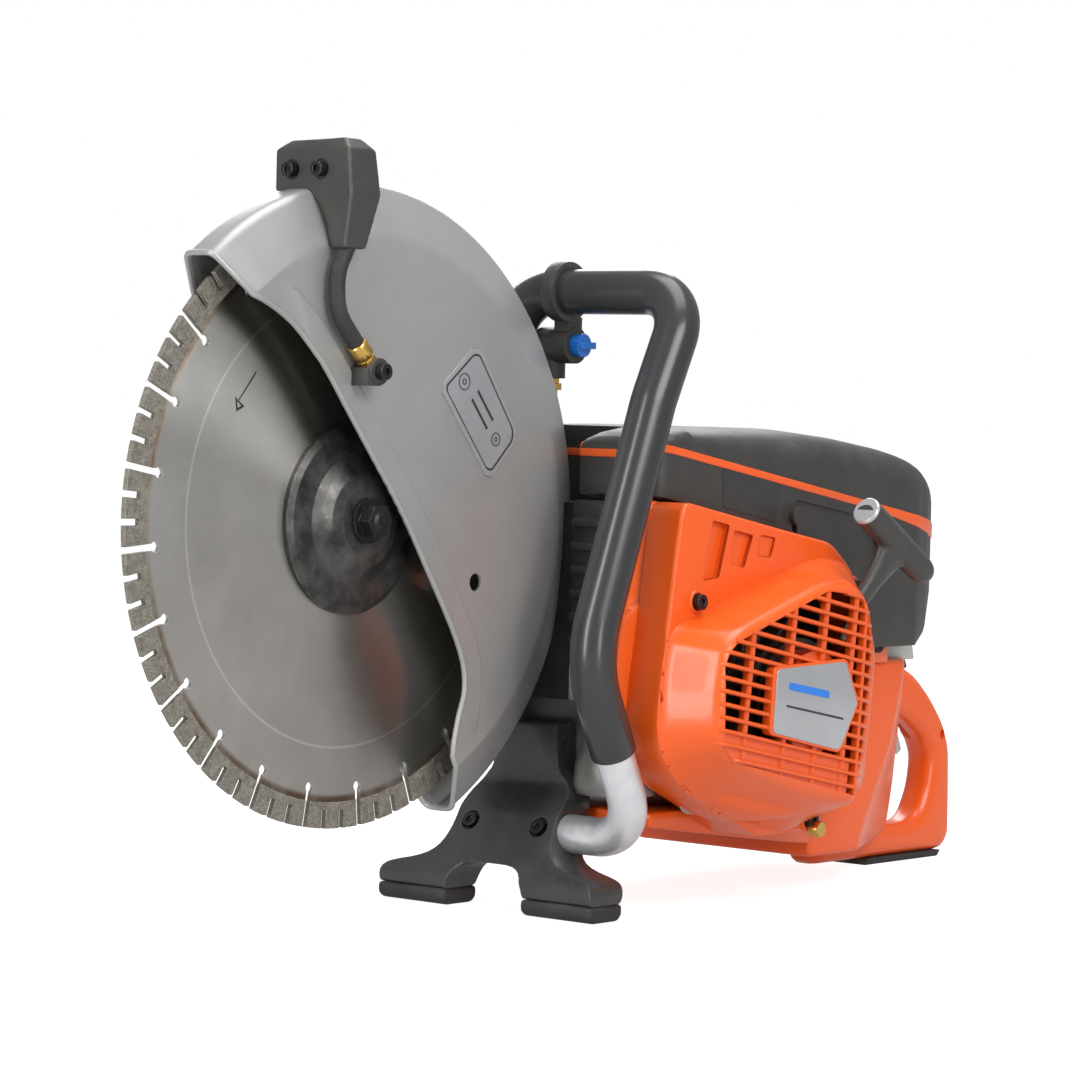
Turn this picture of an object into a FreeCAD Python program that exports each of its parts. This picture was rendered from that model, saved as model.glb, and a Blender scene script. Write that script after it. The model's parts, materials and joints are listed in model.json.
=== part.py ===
import FreeCAD, Part
import math
import os
import Sketcher
from FreeCAD import Placement, Rotation, Vector

# Petrol concrete cut-off saw, millimetres.
# Every piece is laid out from the blade arbor: -X is forward, -Y is the starter
# (left) side, +Z is up.  The frame shift at the end puts the origin on the ground
# under the middle of the machine.

doc = FreeCAD.newDocument("CutOffSaw")
sheet = doc.addObject("Spreadsheet::Sheet", "Dims")

dimensions = [
    # blade set
    ("bladeRadius", 175, "outer radius of the diamond blade"),
    ("segmentDepth", 15, "radial height of a diamond segment"),
    ("coreThick", 2.4, "steel core thickness"),
    ("segmentThick", 3.2, "segment thickness"),
    ("flangeRadius", 53.7, "clamping flange radius"),
    ("arborRadius", 10, "blade bore radius"),
    ("segmentCount", 24, "number of segments"),
    ("gulletWidth", 3.8, "gullet slot width"),
    # guard
    ("guardRadius", 190, "outer radius of the blade guard"),
    ("guardShoulder", 160, "radius where the guard side turns inwards"),
    ("guardSide", 24, "half width of the guard over its side walls"),
    ("guardBand", 10, "half width of the guard's flat rim band"),
    ("guardWall", 2, "guard wall thickness"),
    ("guardFront", 130, "angle of the guard's front lip"),
    ("guardTail", -63, "angle of the guard's tail"),
    # drive line
    ("crankX", 255, "crank axis behind the arbor"),
    ("crankZ", -105, "crank axis below the arbor"),
    ("crankY", -20, "cylinder centre plane"),
    ("spindleRadius", 8.5, "spindle radius in its bearings"),
    ("housingRadius", 38, "bearing housing outer radius"),
    ("drivenRadius", 56, "driven pulley radius"),
    ("driveRadius", 28, "drive pulley radius"),
    ("beltY", 53, "belt centre plane"),
    ("beltWidth", 12, "belt width"),
    ("beltThick", 3.2, "belt thickness"),
    ("armY", 26, "inner face of the cutting arm"),
    ("armThick", 16, "cutting arm thickness"),
    ("mainRadius", 10, "crankshaft journal radius"),
    ("throwLength", 19, "crank throw, half the stroke"),
    ("rodLength", 60, "connecting rod centre distance"),
    ("boreRadius", 28.1, "cylinder bore radius"),
    ("fanRadius", 66, "flywheel fan radius"),
    # starter
    ("starterFace", -150, "outer face of the starter dome"),
    ("starterBase", -112, "outer face of the starter cover's flange"),
    ("pulleyRadius", 34, "starter rope pulley radius"),
    # handle tube
    ("tubeRadius", 11.5, "front handle tube outer radius"),
    ("coatRadius", 13.5, "grip coating outer radius"),
    ("tubeWall", 2.5, "front handle tube wall"),
    # covers and stand
    ("wall", 2.5, "moulded cover wall"),
    ("groundZ", -233.3, "ground below the arbor"),
    ("padThick", 10, "front rubber pad height"),
    # frame shift: arbor position measured from the ground centre
    ("arborX", -213.5, "arbor ahead of the middle"),
    ("arborY", 30.7, "blade plane right of the middle"),
    ("arborZ", 233.3, "arbor height"),
]
for row, (alias, value, note) in enumerate(dimensions, 1):
    sheet.set("A%d" % row, note)
    sheet.set("B%d" % row, str(value))
    sheet.setAlias("B%d" % row, alias)
doc.recompute()


def textOf(value):
    return value.text if isinstance(value, Size) else "%.6g" % value


class Size(float):
    """A number that also remembers the sheet formula it comes from."""

    def __new__(cls, value, text):
        size = float.__new__(cls, value)
        size.text = text
        return size

    def __add__(self, other):
        return Size(float(self) + float(other), "(%s + %s)" % (self.text, textOf(other)))

    def __radd__(self, other):
        return Size(float(self) + float(other), "(%s + %s)" % (textOf(other), self.text))

    def __sub__(self, other):
        return Size(float(self) - float(other), "(%s - %s)" % (self.text, textOf(other)))

    def __rsub__(self, other):
        return Size(float(other) - float(self), "(%s - %s)" % (textOf(other), self.text))

    def __mul__(self, other):
        return Size(float(self) * float(other), "(%s * %s)" % (self.text, textOf(other)))

    __rmul__ = __mul__

    def __truediv__(self, other):
        return Size(float(self) / float(other), "(%s / %s)" % (self.text, textOf(other)))

    def __neg__(self):
        return Size(-float(self), "(0 - %s)" % self.text)


class Cells:
    """Sheet cells by alias: cell.bladeRadius is a Size."""

    def __getattr__(self, alias):
        return Size(float(getattr(sheet, alias)), "Dims.%s" % alias)


cell = Cells()
crank = (cell.crankX, 0, cell.crankZ)
nodes = {}


# ---- building blocks -------------------------------------------------------------

def bind(item, prop, value):
    """Set a property, and tie it to the sheet when the value comes from there."""
    target = item
    steps = prop.split(".")
    if len(steps) == 1:
        setattr(target, prop, float(value))
    if isinstance(value, Size):
        item.setExpression(prop, value.text)


def put(item, at, rotation=None):
    """Give an object its place; the parts of it that come from the sheet stay tied."""
    item.Placement = Placement(Vector(*[float(c) for c in at]), rotation or Rotation())
    for axis, value in zip("xyz", at):
        if isinstance(value, Size):
            item.setExpression("Placement.Base." + axis, value.text)
    return item


turned = {
    "x": Rotation(Vector(0, 1, 0), 90),
    "y": Rotation(Vector(1, 0, 0), -90),
    "z": Rotation(),
}


def leaning(direction):
    return Rotation(Vector(0, 0, 1), Vector(*direction))


def cylinder(radius, length, at, axis="y"):
    """Solid cylinder starting at `at` and running along +axis."""
    item = doc.addObject("Part::Cylinder", "Cylinder")
    bind(item, "Radius", radius)
    bind(item, "Height", length)
    return put(item, at, turned[axis] if isinstance(axis, str) else leaning(axis))


def cone(low, high, length, at, axis="y"):
    item = doc.addObject("Part::Cone", "Cone")
    bind(item, "Radius1", low)
    bind(item, "Radius2", high)
    bind(item, "Height", length)
    return put(item, at, turned[axis] if isinstance(axis, str) else leaning(axis))


def box(low, high):
    """Box between two corners."""
    item = doc.addObject("Part::Box", "Box")
    for prop, a, b in zip(("Length", "Width", "Height"), low, high):
        bind(item, prop, b - a)
    return put(item, low)


def hexagon(across, length, at, axis="y"):
    item = doc.addObject("Part::Prism", "Hexagon")
    item.Polygon = 6
    bind(item, "Circumradius", across / math.sqrt(3))
    bind(item, "Height", length)
    return put(item, at, turned[axis])


def fuse(*items):
    item = doc.addObject("Part::MultiFuse", "Fuse")
    item.Shapes = list(items)
    item.Refine = False
    return item


def group(*items):
    """Separate solids that share one node."""
    item = doc.addObject("Part::Compound", "Group")
    item.Links = list(items)
    return item


def cut(base, *tools):
    item = doc.addObject("Part::Cut", "Cut")
    item.Base = base
    item.Tool = tools[0] if len(tools) == 1 else fuse(*tools)
    return item


def common(first, second):
    item = doc.addObject("Part::Common", "Common")
    item.Base = first
    item.Tool = second
    return item


def rounded(base, radius, chosen):
    """Round the edges for which chosen(edge) is true."""
    doc.recompute()
    edges = [(i, float(radius), float(radius))
             for i, edge in enumerate(base.Shape.Edges, 1) if chosen(edge)]
    item = doc.addObject("Part::Fillet", "Rounded")
    item.Base = base
    item.Edges = edges
    return item


def along(direction):
    """Chooser for straight edges that run along a direction."""
    axis = Vector(*direction)

    def chosen(edge):
        if edge.Curve.TypeId != "Part::GeomLine":
            return False
        run = edge.Vertexes[-1].Point - edge.Vertexes[0].Point
        return run.Length > 1e-6 and abs(run.normalize().dot(axis)) > 0.999

    return chosen


def outlineSketch(body, role, outline):
    """Closed polygon on one of the body's own planes, every corner dimensioned."""
    sketch = body.newObject("Sketcher::SketchObject", "Outline")
    plane = [f for f in body.Origin.OriginFeatures if f.Role == role][0]
    sketch.AttachmentSupport = [(plane, "")]
    sketch.MapMode = "FlatFace"
    count = len(outline)
    for i, (a, b) in enumerate(outline):
        c, d = outline[(i + 1) % count]
        line = Part.LineSegment(Vector(float(a), float(b), 0), Vector(float(c), float(d), 0))
        sketch.addGeometry(line, False)
    for i in range(count):
        sketch.addConstraint(Sketcher.Constraint("Coincident", i, 2, (i + 1) % count, 1))
    for i, corner in enumerate(outline):
        for kind, value in zip(("DistanceX", "DistanceY"), corner):
            index = sketch.addConstraint(Sketcher.Constraint(kind, -1, 1, i, 1, float(value)))
            if isinstance(value, Size):
                sketch.setExpression("Constraints[%d]" % index, value.text)
    return sketch


def newBody():
    return doc.addObject("PartDesign::Body", "Body")


def pad(role, outline, length, at=(0, 0, 0)):
    """Body padded from an outline: XZ outlines grow towards -Y, YZ towards +X, XY towards +Z."""
    body = newBody()
    sketch = outlineSketch(body, role, outline)
    feature = body.newObject("PartDesign::Pad", "Pad")
    feature.Profile = sketch
    bind(feature, "Length", length)
    body.Tip = feature
    return put(body, at)


def sidePad(outline, low, high):
    """Side-view (XZ) outline padded across the machine from y=low to y=high."""
    return pad("XZ_Plane", outline, high - low, (0, high, 0))


def planPad(outline, low, high):
    """Plan-view (XY) outline padded from z=low to z=high."""
    return pad("XY_Plane", outline, high - low, (0, 0, low))


def frontPad(outline, low, high):
    """Front-view (YZ) outline padded from x=low to x=high."""
    return pad("YZ_Plane", outline, high - low, (low, 0, 0))


def revolved(profile, centre=(0, 0, 0), angle=360, start=0):
    """Body turned about the Y axis through centre from (radius, y) corners."""
    body = newBody()
    sketch = outlineSketch(body, "XY_Plane", profile)
    feature = body.newObject("PartDesign::Revolution", "Revolution")
    feature.Profile = sketch
    feature.ReferenceAxis = (sketch, ["V_Axis"])
    bind(feature, "Angle", angle)
    body.Tip = feature
    return put(body, centre, Rotation(Vector(0, 1, 0), -start))


def ring(outer, inner, low, high, centre=(0, 0, 0)):
    return revolved([(inner, low), (outer, low), (outer, high), (inner, high)], centre)


def coded(shape):
    """Feature whose shape comes from Part's own functions."""
    item = doc.addObject("Part::Feature", "Shape")
    item.Shape = shape
    return item


def beltLoop(frontRadius, rearRadius, low, high):
    """Belt-shaped prism round the arbor and the crank axis, y from low to high."""
    reach = Vector(float(cell.crankX), 0, float(cell.crankZ))
    gap = reach.Length
    lean = math.atan2(reach.z, reach.x)
    spread = math.acos((float(frontRadius) - float(rearRadius)) / gap)
    ends = []
    for centre, radius in ((Vector(), frontRadius), (reach, rearRadius)):
        for side in (1, -1):
            angle = lean + side * spread
            ends.append(centre + Vector(math.cos(angle), 0, math.sin(angle)) * float(radius))
    nose = Vector(math.cos(lean), 0, math.sin(lean))
    front = Part.Arc(ends[0], nose * -float(frontRadius), ends[1]).toShape()
    rear = Part.Arc(ends[3], reach + nose * float(rearRadius), ends[2]).toShape()
    wire = Part.Wire([front, Part.makeLine(ends[1], ends[3]), rear, Part.makeLine(ends[2], ends[0])])
    wire.translate(Vector(0, float(low), 0))
    return Part.Face(wire).extrude(Vector(0, float(high) - float(low), 0))


def route(points, bends):
    """Wire of straight runs through points, joined by tangent arcs of the given radii."""
    edges = []
    last = Vector(*points[0])
    for before, corner, after, bend in zip(points, points[1:], points[2:], bends):
        corner = Vector(*corner)
        back = (Vector(*before) - corner).normalize()
        ahead = (Vector(*after) - corner).normalize()
        half = (math.pi - back.getAngle(ahead)) / 2
        reach = bend * math.tan(half)
        start = corner + back * reach
        end = corner + ahead * reach
        middle = corner + (back + ahead).normalize() * (bend / math.cos(half) - bend)
        edges.append(Part.makeLine(last, start))
        edges.append(Part.Arc(start, middle, end).toShape())
        last = end
    edges.append(Part.makeLine(last, Vector(*points[-1])))
    return Part.Wire(edges)


def pipe(path, outer, inner=0):
    """Round tube along a wire; its volume is checked against section times length."""
    start = path.Edges[0]
    heading = start.tangentAt(start.FirstParameter)
    solids = []
    for radius in (outer, inner):
        if radius:
            ring = Part.Wire(Part.makeCircle(float(radius), start.Vertexes[0].Point, heading))
            solids.append(path.makePipeShell([ring], True, False))
    shape = solids[0] if len(solids) == 1 else solids[0].cut(solids[1])
    expected = math.pi * (float(outer) ** 2 - float(inner) ** 2) * path.Length
    assert abs(abs(shape.Volume) / expected - 1) < 0.03, (shape.Volume, expected)
    return shape


def node(name, item):
    """Name a finished piece and move it from the arbor's frame to the ground centre."""
    base = item.Placement.Base
    held = dict(item.ExpressionEngine)
    for axis, shift in zip("xyz", (cell.arborX, cell.arborY, cell.arborZ)):
        own = held.get("Placement.Base." + axis) or held.get(".Placement.Base." + axis)
        text = own or "%.6g" % getattr(base, axis)
        setattr(base, axis, getattr(base, axis) + float(shift))
        item.setExpression("Placement.Base." + axis, "%s + %s" % (text, shift.text))
    item.Placement = Placement(base, item.Placement.Rotation)
    item.Label = name
    nodes[name] = item
    return item


def screw(at, axis, headRadius=4.6, shank=12):
    """Socket-head screw: head sits on `at` and stands along axis."""
    outwards = Vector(*axis)
    base = Vector(*[float(c) for c in at])
    head = Part.makeCylinder(headRadius, 5, base, outwards)
    socket = Part.makeCylinder(2.3, 3, base + outwards * 2.5, outwards)
    stem = Part.makeCylinder(2.4, shank + 0.5, base + outwards * 0.5, outwards * -1)
    return head.cut(socket).fuse(stem)


# ---- blade set -------------------------------------------------------------------

def spokes(count, low, high, phase=0.0):
    """Copies of a box, corners low and high, spaced evenly round the arbor axis."""
    solid = Part.makeBox(high[0] - low[0], high[1] - low[1], high[2] - low[2], Vector(*low))
    turns = []
    for i in range(count):
        copy = solid.copy()
        copy.rotate(Vector(), Vector(0, 1, 0), phase + 360.0 * i / count)
        turns.append(copy)
    return turns


count = int(cell.segmentCount)
half = cell.coreThick / 2
coreRadius = cell.bladeRadius - cell.segmentDepth
gullet = float(cell.gulletWidth) / 2
keyholeRadius = 152.0
midSegment = 15.0 / 2
bladePhase = -5.0

core = ring(coreRadius, cell.arborRadius, -half, half)
gullets = spokes(count, (keyholeRadius, -5, -gullet), (200, 5, gullet), bladePhase)
for solid in spokes(count, (keyholeRadius, -5, -gullet), (keyholeRadius + 1, 5, gullet), bladePhase):
    eye = Part.makeCylinder(3, 10, Vector(0, -5, 0), Vector(0, 1, 0))
    middle = solid.CenterOfMass
    eye.translate(Vector(middle.x, 0, middle.z))
    gullets.append(eye)
node("blade_core", cut(core, coded(Part.Compound(gullets))))

rim = ring(cell.bladeRadius, coreRadius, -cell.segmentThick / 2, cell.segmentThick / 2)
notches = spokes(count, (float(coreRadius) - 5, -5, -gullet), (200, 5, gullet), bladePhase)
for side in (-2.5, 2.5):
    notches += spokes(count, (164.5, -5, -1.8), (200, 5, 1.8), bladePhase + midSegment + side)
node("blade_segments", cut(rim, coded(Part.Compound(notches))))

flange = cell.flangeRadius
node("outer_flange", revolved([
    (10.05, -2), (44, -2), (44, -half), (flange, -half), (flange, -4.5), (50, -6.5), (37, -8.2),
    (32, -11), (27, -14.5), (20, -16.5), (5.3, -16.5), (5.3, -10.5), (10.05, -10.5)]))
node("inner_flange", revolved([
    (10.05, 2), (44, 2), (44, half), (flange, half), (flange, 5), (24, 8), (16, 11), (10.05, 11)]))
boltHead = fuse(hexagon(17, 8, (0, -26.5, 0)), cylinder(13, 2, (0, -18.5, 0)),
                cone(3.5, 5.5, 1.2, (0, -27.7, 0)), cylinder(5, 36, (0, -16.6, 0)))
node("blade_bolt", boltHead)
spindle = cell.spindleRadius
node("spindle", revolved([
    (5.05, -10), (cell.arborRadius - 0.02, -10), (cell.arborRadius - 0.02, 11.2), (spindle, 11.2),
    (spindle, 64), (7.5, 65), (0, 65), (0, 22), (5.05, 22)]))

# poly-V pulley: the rim is cut by shallow grooves
belt = cell.beltY
halfBelt = cell.beltWidth / 2 + 1.5


def grooved(radius, bore, low, high, grooves=5):
    """Pulley profile with V grooves round its rim."""
    points = [(bore, low), (radius, low)]
    pitch = (float(high) - float(low) - 3) / grooves
    for i in range(grooves):
        y = float(low) + 1.5 + pitch * i
        points += [(radius, y), (radius - 1.8, y + pitch / 2)]
    points += [(radius, float(high) - 1.5), (radius, high), (bore, high)]
    return points


def tidyProfile(points):
    """Drop corners that repeat the one before them."""
    kept = [points[0]]
    for point in points[1:]:
        gap = max(abs(float(a) - float(b)) for a, b in zip(point, kept[-1]))
        if gap > 1e-6:
            kept.append(point)
    return kept


pulley = revolved(tidyProfile(grooved(cell.drivenRadius, spindle + 0.01, belt - halfBelt, belt + halfBelt)))
lightening = [cylinder(9, 40, (32 * math.cos(a), 40, 32 * math.sin(a)))
              for a in [math.radians(60 * i) for i in range(6)]]
node("driven_pulley", cut(pulley, *lightening))

# ---- bearings, arm and belt ------------------------------------------------------
housing = cell.housingRadius
arm = cell.armY
armBack = cell.armY + cell.armThick
node("spindle_bearings", group(ring(20, spindle + 0.02, 15, 27), ring(20, spindle + 0.02, 29, 41)))
node("bearing_housing", revolved([
    (18, 13), (36, 13), (housing, 15), (housing, armBack), (20.02, armBack), (20.02, 15), (18, 15)]))

armBody = coded(beltLoop(46, 56, arm, armBack))
armPocket = coded(beltLoop(41, 51, arm + 6, armBack + 1))
armBoss = fuse(cylinder(45, cell.armThick, (0, arm, 0)),
               cylinder(30, cell.armThick, (crank[0], arm, crank[2])),
               box((60, arm, -64), (200, armBack, -50)))
armHoles = fuse(cylinder(housing + 0.02, 30, (0, arm - 5, 0)),
                cylinder(16, 30, (crank[0], arm - 5, crank[2])))
armShell = fuse(cut(armBody, armPocket), common(armBoss, coded(beltLoop(46, 56, arm, armBack))),
                box((171, arm, -60), (197, arm + 20, -12)))
node("cutting_arm", cut(armShell, armHoles, cylinder(cell.tubeRadius + 0.05, 60, (184, 36, -24.05), "z")))

beltInner = cell.drivenRadius + 0.3
node("drive_belt", cut(
    coded(beltLoop(beltInner + cell.beltThick, cell.driveRadius + 0.3 + cell.beltThick, belt - 6, belt + 6)),
    coded(beltLoop(beltInner, cell.driveRadius + 0.3, belt - 7, belt + 7))))

coverIn = armBack + 0.5
coverShell = fuse(coded(beltLoop(67, 60, coverIn, 68)),
                  cylinder(52, 88 - coverIn, (crank[0], coverIn, crank[2])))
coverRoom = fuse(coded(beltLoop(64.5, 57.5, coverIn - 1, 65.5)),
                 cylinder(49.5, 85.5 - coverIn, (crank[0], coverIn, crank[2])))
coverRibs = [box((x, 67, -12 - 0.41 * x), (x + 4, 70, 28 - 0.41 * x)) for x in (40, 60, 80, 100, 120)]
tubeSlot = box((168, armBack - 1, -70), (200, 55, 10))
node("belt_guard", cut(fuse(coverShell, *coverRibs), coverRoom, tubeSlot))

# ---- engine ----------------------------------------------------------------------
journal = cell.mainRadius
throwAt = (cell.crankX, 0, cell.crankZ + cell.throwLength)
mid = float(cell.crankY)


def web(low):
    return cylinder(30, 8, (crank[0], low, crank[2]))


node("crankshaft", fuse(
    cylinder(journal, 60, (crank[0], mid - 14 - 60, crank[2])), web(mid - 14), web(mid + 6),
    cylinder(8, 14, (throwAt[0], mid - 7, throwAt[2])),
    cylinder(journal, 86, (crank[0], mid + 14, crank[2]))))
node("crank_bearings", group(ring(22, journal + 0.02, mid - 36, mid - 22, crank),
                             ring(22, journal + 0.02, mid + 22, mid + 36, crank)))

bigEnd = (throwAt[0], mid - 5, throwAt[2])
smallEnd = (throwAt[0], mid - 5, throwAt[2] + cell.rodLength)
rodBody = fuse(cylinder(13, 10, bigEnd), cylinder(8, 10, smallEnd),
               box((throwAt[0] - 5, mid - 3, throwAt[2] + 8), (throwAt[0] + 5, mid + 3, smallEnd[2])))
node("connecting_rod", cut(rodBody, cylinder(8.05, 12, (bigEnd[0], mid - 6, bigEnd[2])),
                           cylinder(5, 12, (smallEnd[0], mid - 6, smallEnd[2]))))

pinZ = smallEnd[2]
bore = cell.boreRadius
pistonBody = cylinder(bore - 0.2, 24, (crank[0], mid, pinZ - 8), "z")
node("piston", cut(pistonBody, cylinder(25.5, 19, (crank[0], mid, pinZ - 9), "z")))

deckZ = float(cell.crankZ) + 37
crownZ = float(pinZ) + 19
fins = [box((crank[0] - 41, mid - 38, deckZ + 6 + 7.5 * i), (crank[0] + 41, mid + 38, deckZ + 8 + 7.5 * i))
        for i in range(9)]
barrel = fuse(cylinder(34, crownZ + 6 - deckZ, (crank[0], mid, deckZ), "z"),
              box((crank[0] - 36, mid - 36, deckZ), (crank[0] + 36, mid + 36, deckZ + 6)), *fins)
chamber = fuse(cylinder(bore, crownZ - deckZ + 1, (crank[0], mid, deckZ - 1), "z"),
               cylinder(5.1, 12, (crank[0], mid, crownZ - 1), "z"))
node("cylinder", cut(barrel, chamber))
node("spark_plug", fuse(cylinder(5, 8, (crank[0], mid, crownZ - 1), "z"),
                        hexagon(16, 9, (crank[0], mid, crownZ + 7), "z"),
                        cylinder(9, 20, (crank[0], mid, crownZ + 16), "z"),
                        cylinder(5, 14, (crank[0], mid, crownZ + 27), "x")))

# crankcase: split casting with the crank chamber inside, cut back to let the guard turn
caseOutline = [(182, -160), (340, -160), (342, -60), (300, -68), (206, -68), (182, -100)]
caseBody = fuse(sidePad(caseOutline, -66, 25.8),
                box((132, -77, -104), (184, -58, -84)))
chamberRoom = fuse(cylinder(35, 36, (crank[0], mid - 18, crank[2])),
                   cylinder(bore, 70, (crank[0], mid, crank[2]), "z"),
                   cylinder(11, 120, (crank[0], -80, crank[2])),
                   cylinder(22.02, 14, (crank[0], mid - 36, crank[2])),
                   cylinder(22.02, 14, (crank[0], mid + 22, crank[2])))
guardSweep = cylinder(cell.guardRadius + 5, 58, (0, -31, 0))
node("crankcase", cut(caseBody, chamberRoom, guardSweep))

# centrifugal clutch: a spider with three shoes on the crank, a drum with the drive pulley outside
shoes = ring(34.5, 20, 66, 78, crank)
spider = [Part.makeBox(60, 20, 3, Vector(12, 62, -1.5)) for i in range(3)]
for i, solid in enumerate(spider):
    solid.rotate(Vector(), Vector(0, 1, 0), 120 * i)
    solid.translate(Vector(*[float(c) for c in crank]))
node("clutch_shoes", group(cut(shoes, coded(Part.Compound(spider))),
                           ring(17, journal + 0.01, 66, 78, crank)))
drumProfile = tidyProfile(grooved(cell.driveRadius, journal + 0.05, belt - halfBelt, belt + halfBelt))
drum = fuse(revolved(drumProfile, crank),
            revolved([(journal + 0.05, 60.5), (38.5, 60.5), (38.5, 79), (36, 79), (36, 64),
                      (journal + 0.05, 64)], crank))
node("clutch_drum", drum)

# flywheel with fan blades
fan = cell.fanRadius
wheel = fuse(ring(fan - 6, 10.02, -84, -76, crank), ring(22, 10.02, -94, -76, crank),
             ring(fan, fan - 10, -80, -76, crank))
blades = []
for i in range(16):
    vane = Part.makeBox(float(fan) - 32, 18, 2.2, Vector(30, -102, -1.1))
    vane.rotate(Vector(30, 0, 0), Vector(0, 1, 0), 28)
    vane.rotate(Vector(), Vector(0, 1, 0), 360.0 / 16 * i)
    vane.translate(Vector(*[float(c) for c in crank]))
    blades.append(vane)
fanRing = common(coded(Part.Compound(blades)), cylinder(fan, 60, (crank[0], -110, crank[2])))
node("flywheel", fuse(wheel, fanRing))
node("ignition_coil", fuse(box((328, -100, -116), (344, -80, -84)), cylinder(7, 12, (336, -92, -84), "z")))

# exhaust in front of the cylinder, beside the guard
node("muffler", fuse(box((180, -72, -62), (210, -30, 2)), cylinder(9, 8, (206, -46, -30), "x")))
shield = cut(box((168, -76, -80), (178.5, -29, 12)), box((171, -73, -81), (179, -32, 9)))
shieldRibs = [box((163, -74, -74 + 14 * i), (169, -31, -69 + 14 * i)) for i in range(6)]
node("muffler_shield", fuse(shield, *shieldRibs))

node("carburettor", fuse(box((320, -42, -46), (356, 2, -10)), cylinder(15, 20, (302, mid, -28), "x"),
                         cylinder(19, 16, (356, mid, -28), "x")))
pleats = [box((390 + 6 * i, -62, -50), (393 + 6 * i, 62, 30)) for i in range(12)]
node("air_filter", fuse(box((386, -58, -46), (464, 58, 26)), *pleats))

# ---- top cover -------------------------------------------------------------------
topSide = [(172, 16), (276, -3), (320, -10), (335, -21), (360, -52), (374, -80), (480, -80),
           (500, -20), (495, 14), (484, 31), (465, 40), (425, 48), (333, 56), (200, 56), (176, 48)]
topPlan = [(186, -92), (176, -84), (176, -32), (202, -28), (202, 70), (214, 84), (440, 84), (480, 66),
           (500, 40), (500, -48), (482, -74), (440, -92)]
topBlock = common(sidePad(topSide, -92, 84), planPad(topPlan, -85, 60))
roomSide = [(178, 0), (332, -30), (358, -70), (372, -90), (478, -90), (496, -20), (491, 13), (481, 28.5),
            (463, 37), (424, 45), (332, 53), (201, 53), (180, 45)]
roomPlan = [(188, -89), (179, -82), (179, -35), (205, -30.5), (205, 69), (215.5, 81), (439, 81), (478, 63),
            (497, 38), (497, -46), (480, -71.5), (439, -89)]
topRoom = common(sidePad(roomSide, -89.5, 81.5), planPad(roomPlan, -95, 54))
valveHole = cylinder(7.5, 10, (305, -95, 4))
chokeHole = cylinder(3.4, 10, (340, 78, -28))
node("top_cover", cut(topBlock, topRoom, valveHole, chokeHole))
node("cover_latch", fuse(cylinder(9, 4, (226, -40, 56), "z"), box((214, -43, 58), (240, -37, 62))))
valve = fuse(cylinder(6, 14, (305, -96, 4)), cylinder(7.2, 2, (305, -88, 4)))
node("decompression_valve", valve)

# ---- starter ---------------------------------------------------------------------
face = cell.starterFace
flangeY = cell.starterBase
starterSide = [(168, 14), (172, 14), (276, -5), (318, -12), (333, -23), (357, -53), (368, -82), (358, -166),
               (330, -172), (292, -187), (250, -190), (205, -166), (172, -156), (152, -122), (148, -58),
               (163, -50)]
starterPlan = [(146, -78), (146, -87), (155, -101), (171, -112), (345, -112), (370, -100), (370, -78)]
skinSide = [(170.5, 11), (172, 11), (275, -8), (316, -14.5), (331, -25), (354.5, -54), (365, -82),
            (355.5, -163), (329, -169), (291, -184), (250, -187), (206, -163), (174, -153.5),
            (154.5, -120.5), (150.5, -60), (165.5, -52)]
skinPlan = [(143, -70), (148.5, -86), (157, -99), (171.5, -109.5), (344, -109.5), (367.5, -98), (373, -70)]
baseBlock = common(sidePad(starterSide, flangeY, -78), planPad(starterPlan, -195, 20))
baseRoom = common(sidePad(skinSide, flangeY - 2, -70), planPad(skinPlan, -200, 25))
domeFoot = [(151, -90), (158, -62), (171, -57), (298, -21), (333, -24), (357, -53), (368, -84), (358, -166),
            (330, -172), (275, -188), (205, -166), (150, -122)]
domeFace = [(160, -88), (164, -70), (176, -60), (262, -33), (292, -36), (310, -56), (318, -76), (303, -160),
            (297, -170), (250, -160), (185, -140), (160, -124)]


def lofted(footY, footOutline, faceY, faceOutline):
    """Solid between two outlines with the same number of corners, each in its own XZ plane."""
    wires = []
    for y, outline in ((footY, footOutline), (faceY, faceOutline)):
        corners = [Vector(x, float(y), z) for x, z in outline]
        wires.append(Part.makePolygon(corners + corners[:1]))
    return coded(Part.makeLoft(wires, True, True))


def inset(outline, centre, share):
    """Outline drawn in towards a centre."""
    return [(centre[0] + share * (x - centre[0]), centre[1] + share * (z - centre[1])) for x, z in outline]


domeCentre = (248, -104)
dome = lofted(flangeY + 1, domeFoot, face, domeFace)
domeRoom = lofted(flangeY + 2, inset(domeFoot, domeCentre, 0.96),
                  face + 2.5, inset(domeFace, domeCentre, 0.96))
slatSlope = -0.193
slats = []
for i in range(9):
    low = -66 - 8 * i
    fall = slatSlope * (302 - 190)
    slats.append(sidePad([(190, low - 4.5), (302, low - 4.5 + fall), (302, low + fall), (190, low)],
                         face - 1, face + 5))
vents = [box((x, flangeY - 1, top - 42 + 9 * i), (x + 12, flangeY + 1.2, top - 5 * i))
         for i, (x, top) in enumerate(((200, -2), (228, -7), (254, -11)))]
hub = fuse(cylinder(31, 12.5, (crank[0], face + 1, crank[2])),
           cylinder(8, 42, (crank[0], face + 1, crank[2])))
shell = cut(fuse(baseBlock, dome), baseRoom, domeRoom, *(slats + vents))
starterShell = fuse(shell, cut(hub, ring(28.5, 8, face + 4, -127, crank)))
eyelet = cylinder(4.6, 60, (crank[0] + 39, -141, crank[2] + 32), (0.6, 0, 0.8))
node("starter_cover", cut(starterShell, eyelet))
plate = [(-44, 19), (23, 22), (37, -2), (20, -29), (-46, -16)]
node("starter_plate", sidePad([(cell.crankX + x, cell.crankZ + z) for x, z in plate], face - 1.4, face))
node("recoil_spring", ring(27, 11, -145, -137, crank))
rope = cell.pulleyRadius
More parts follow.
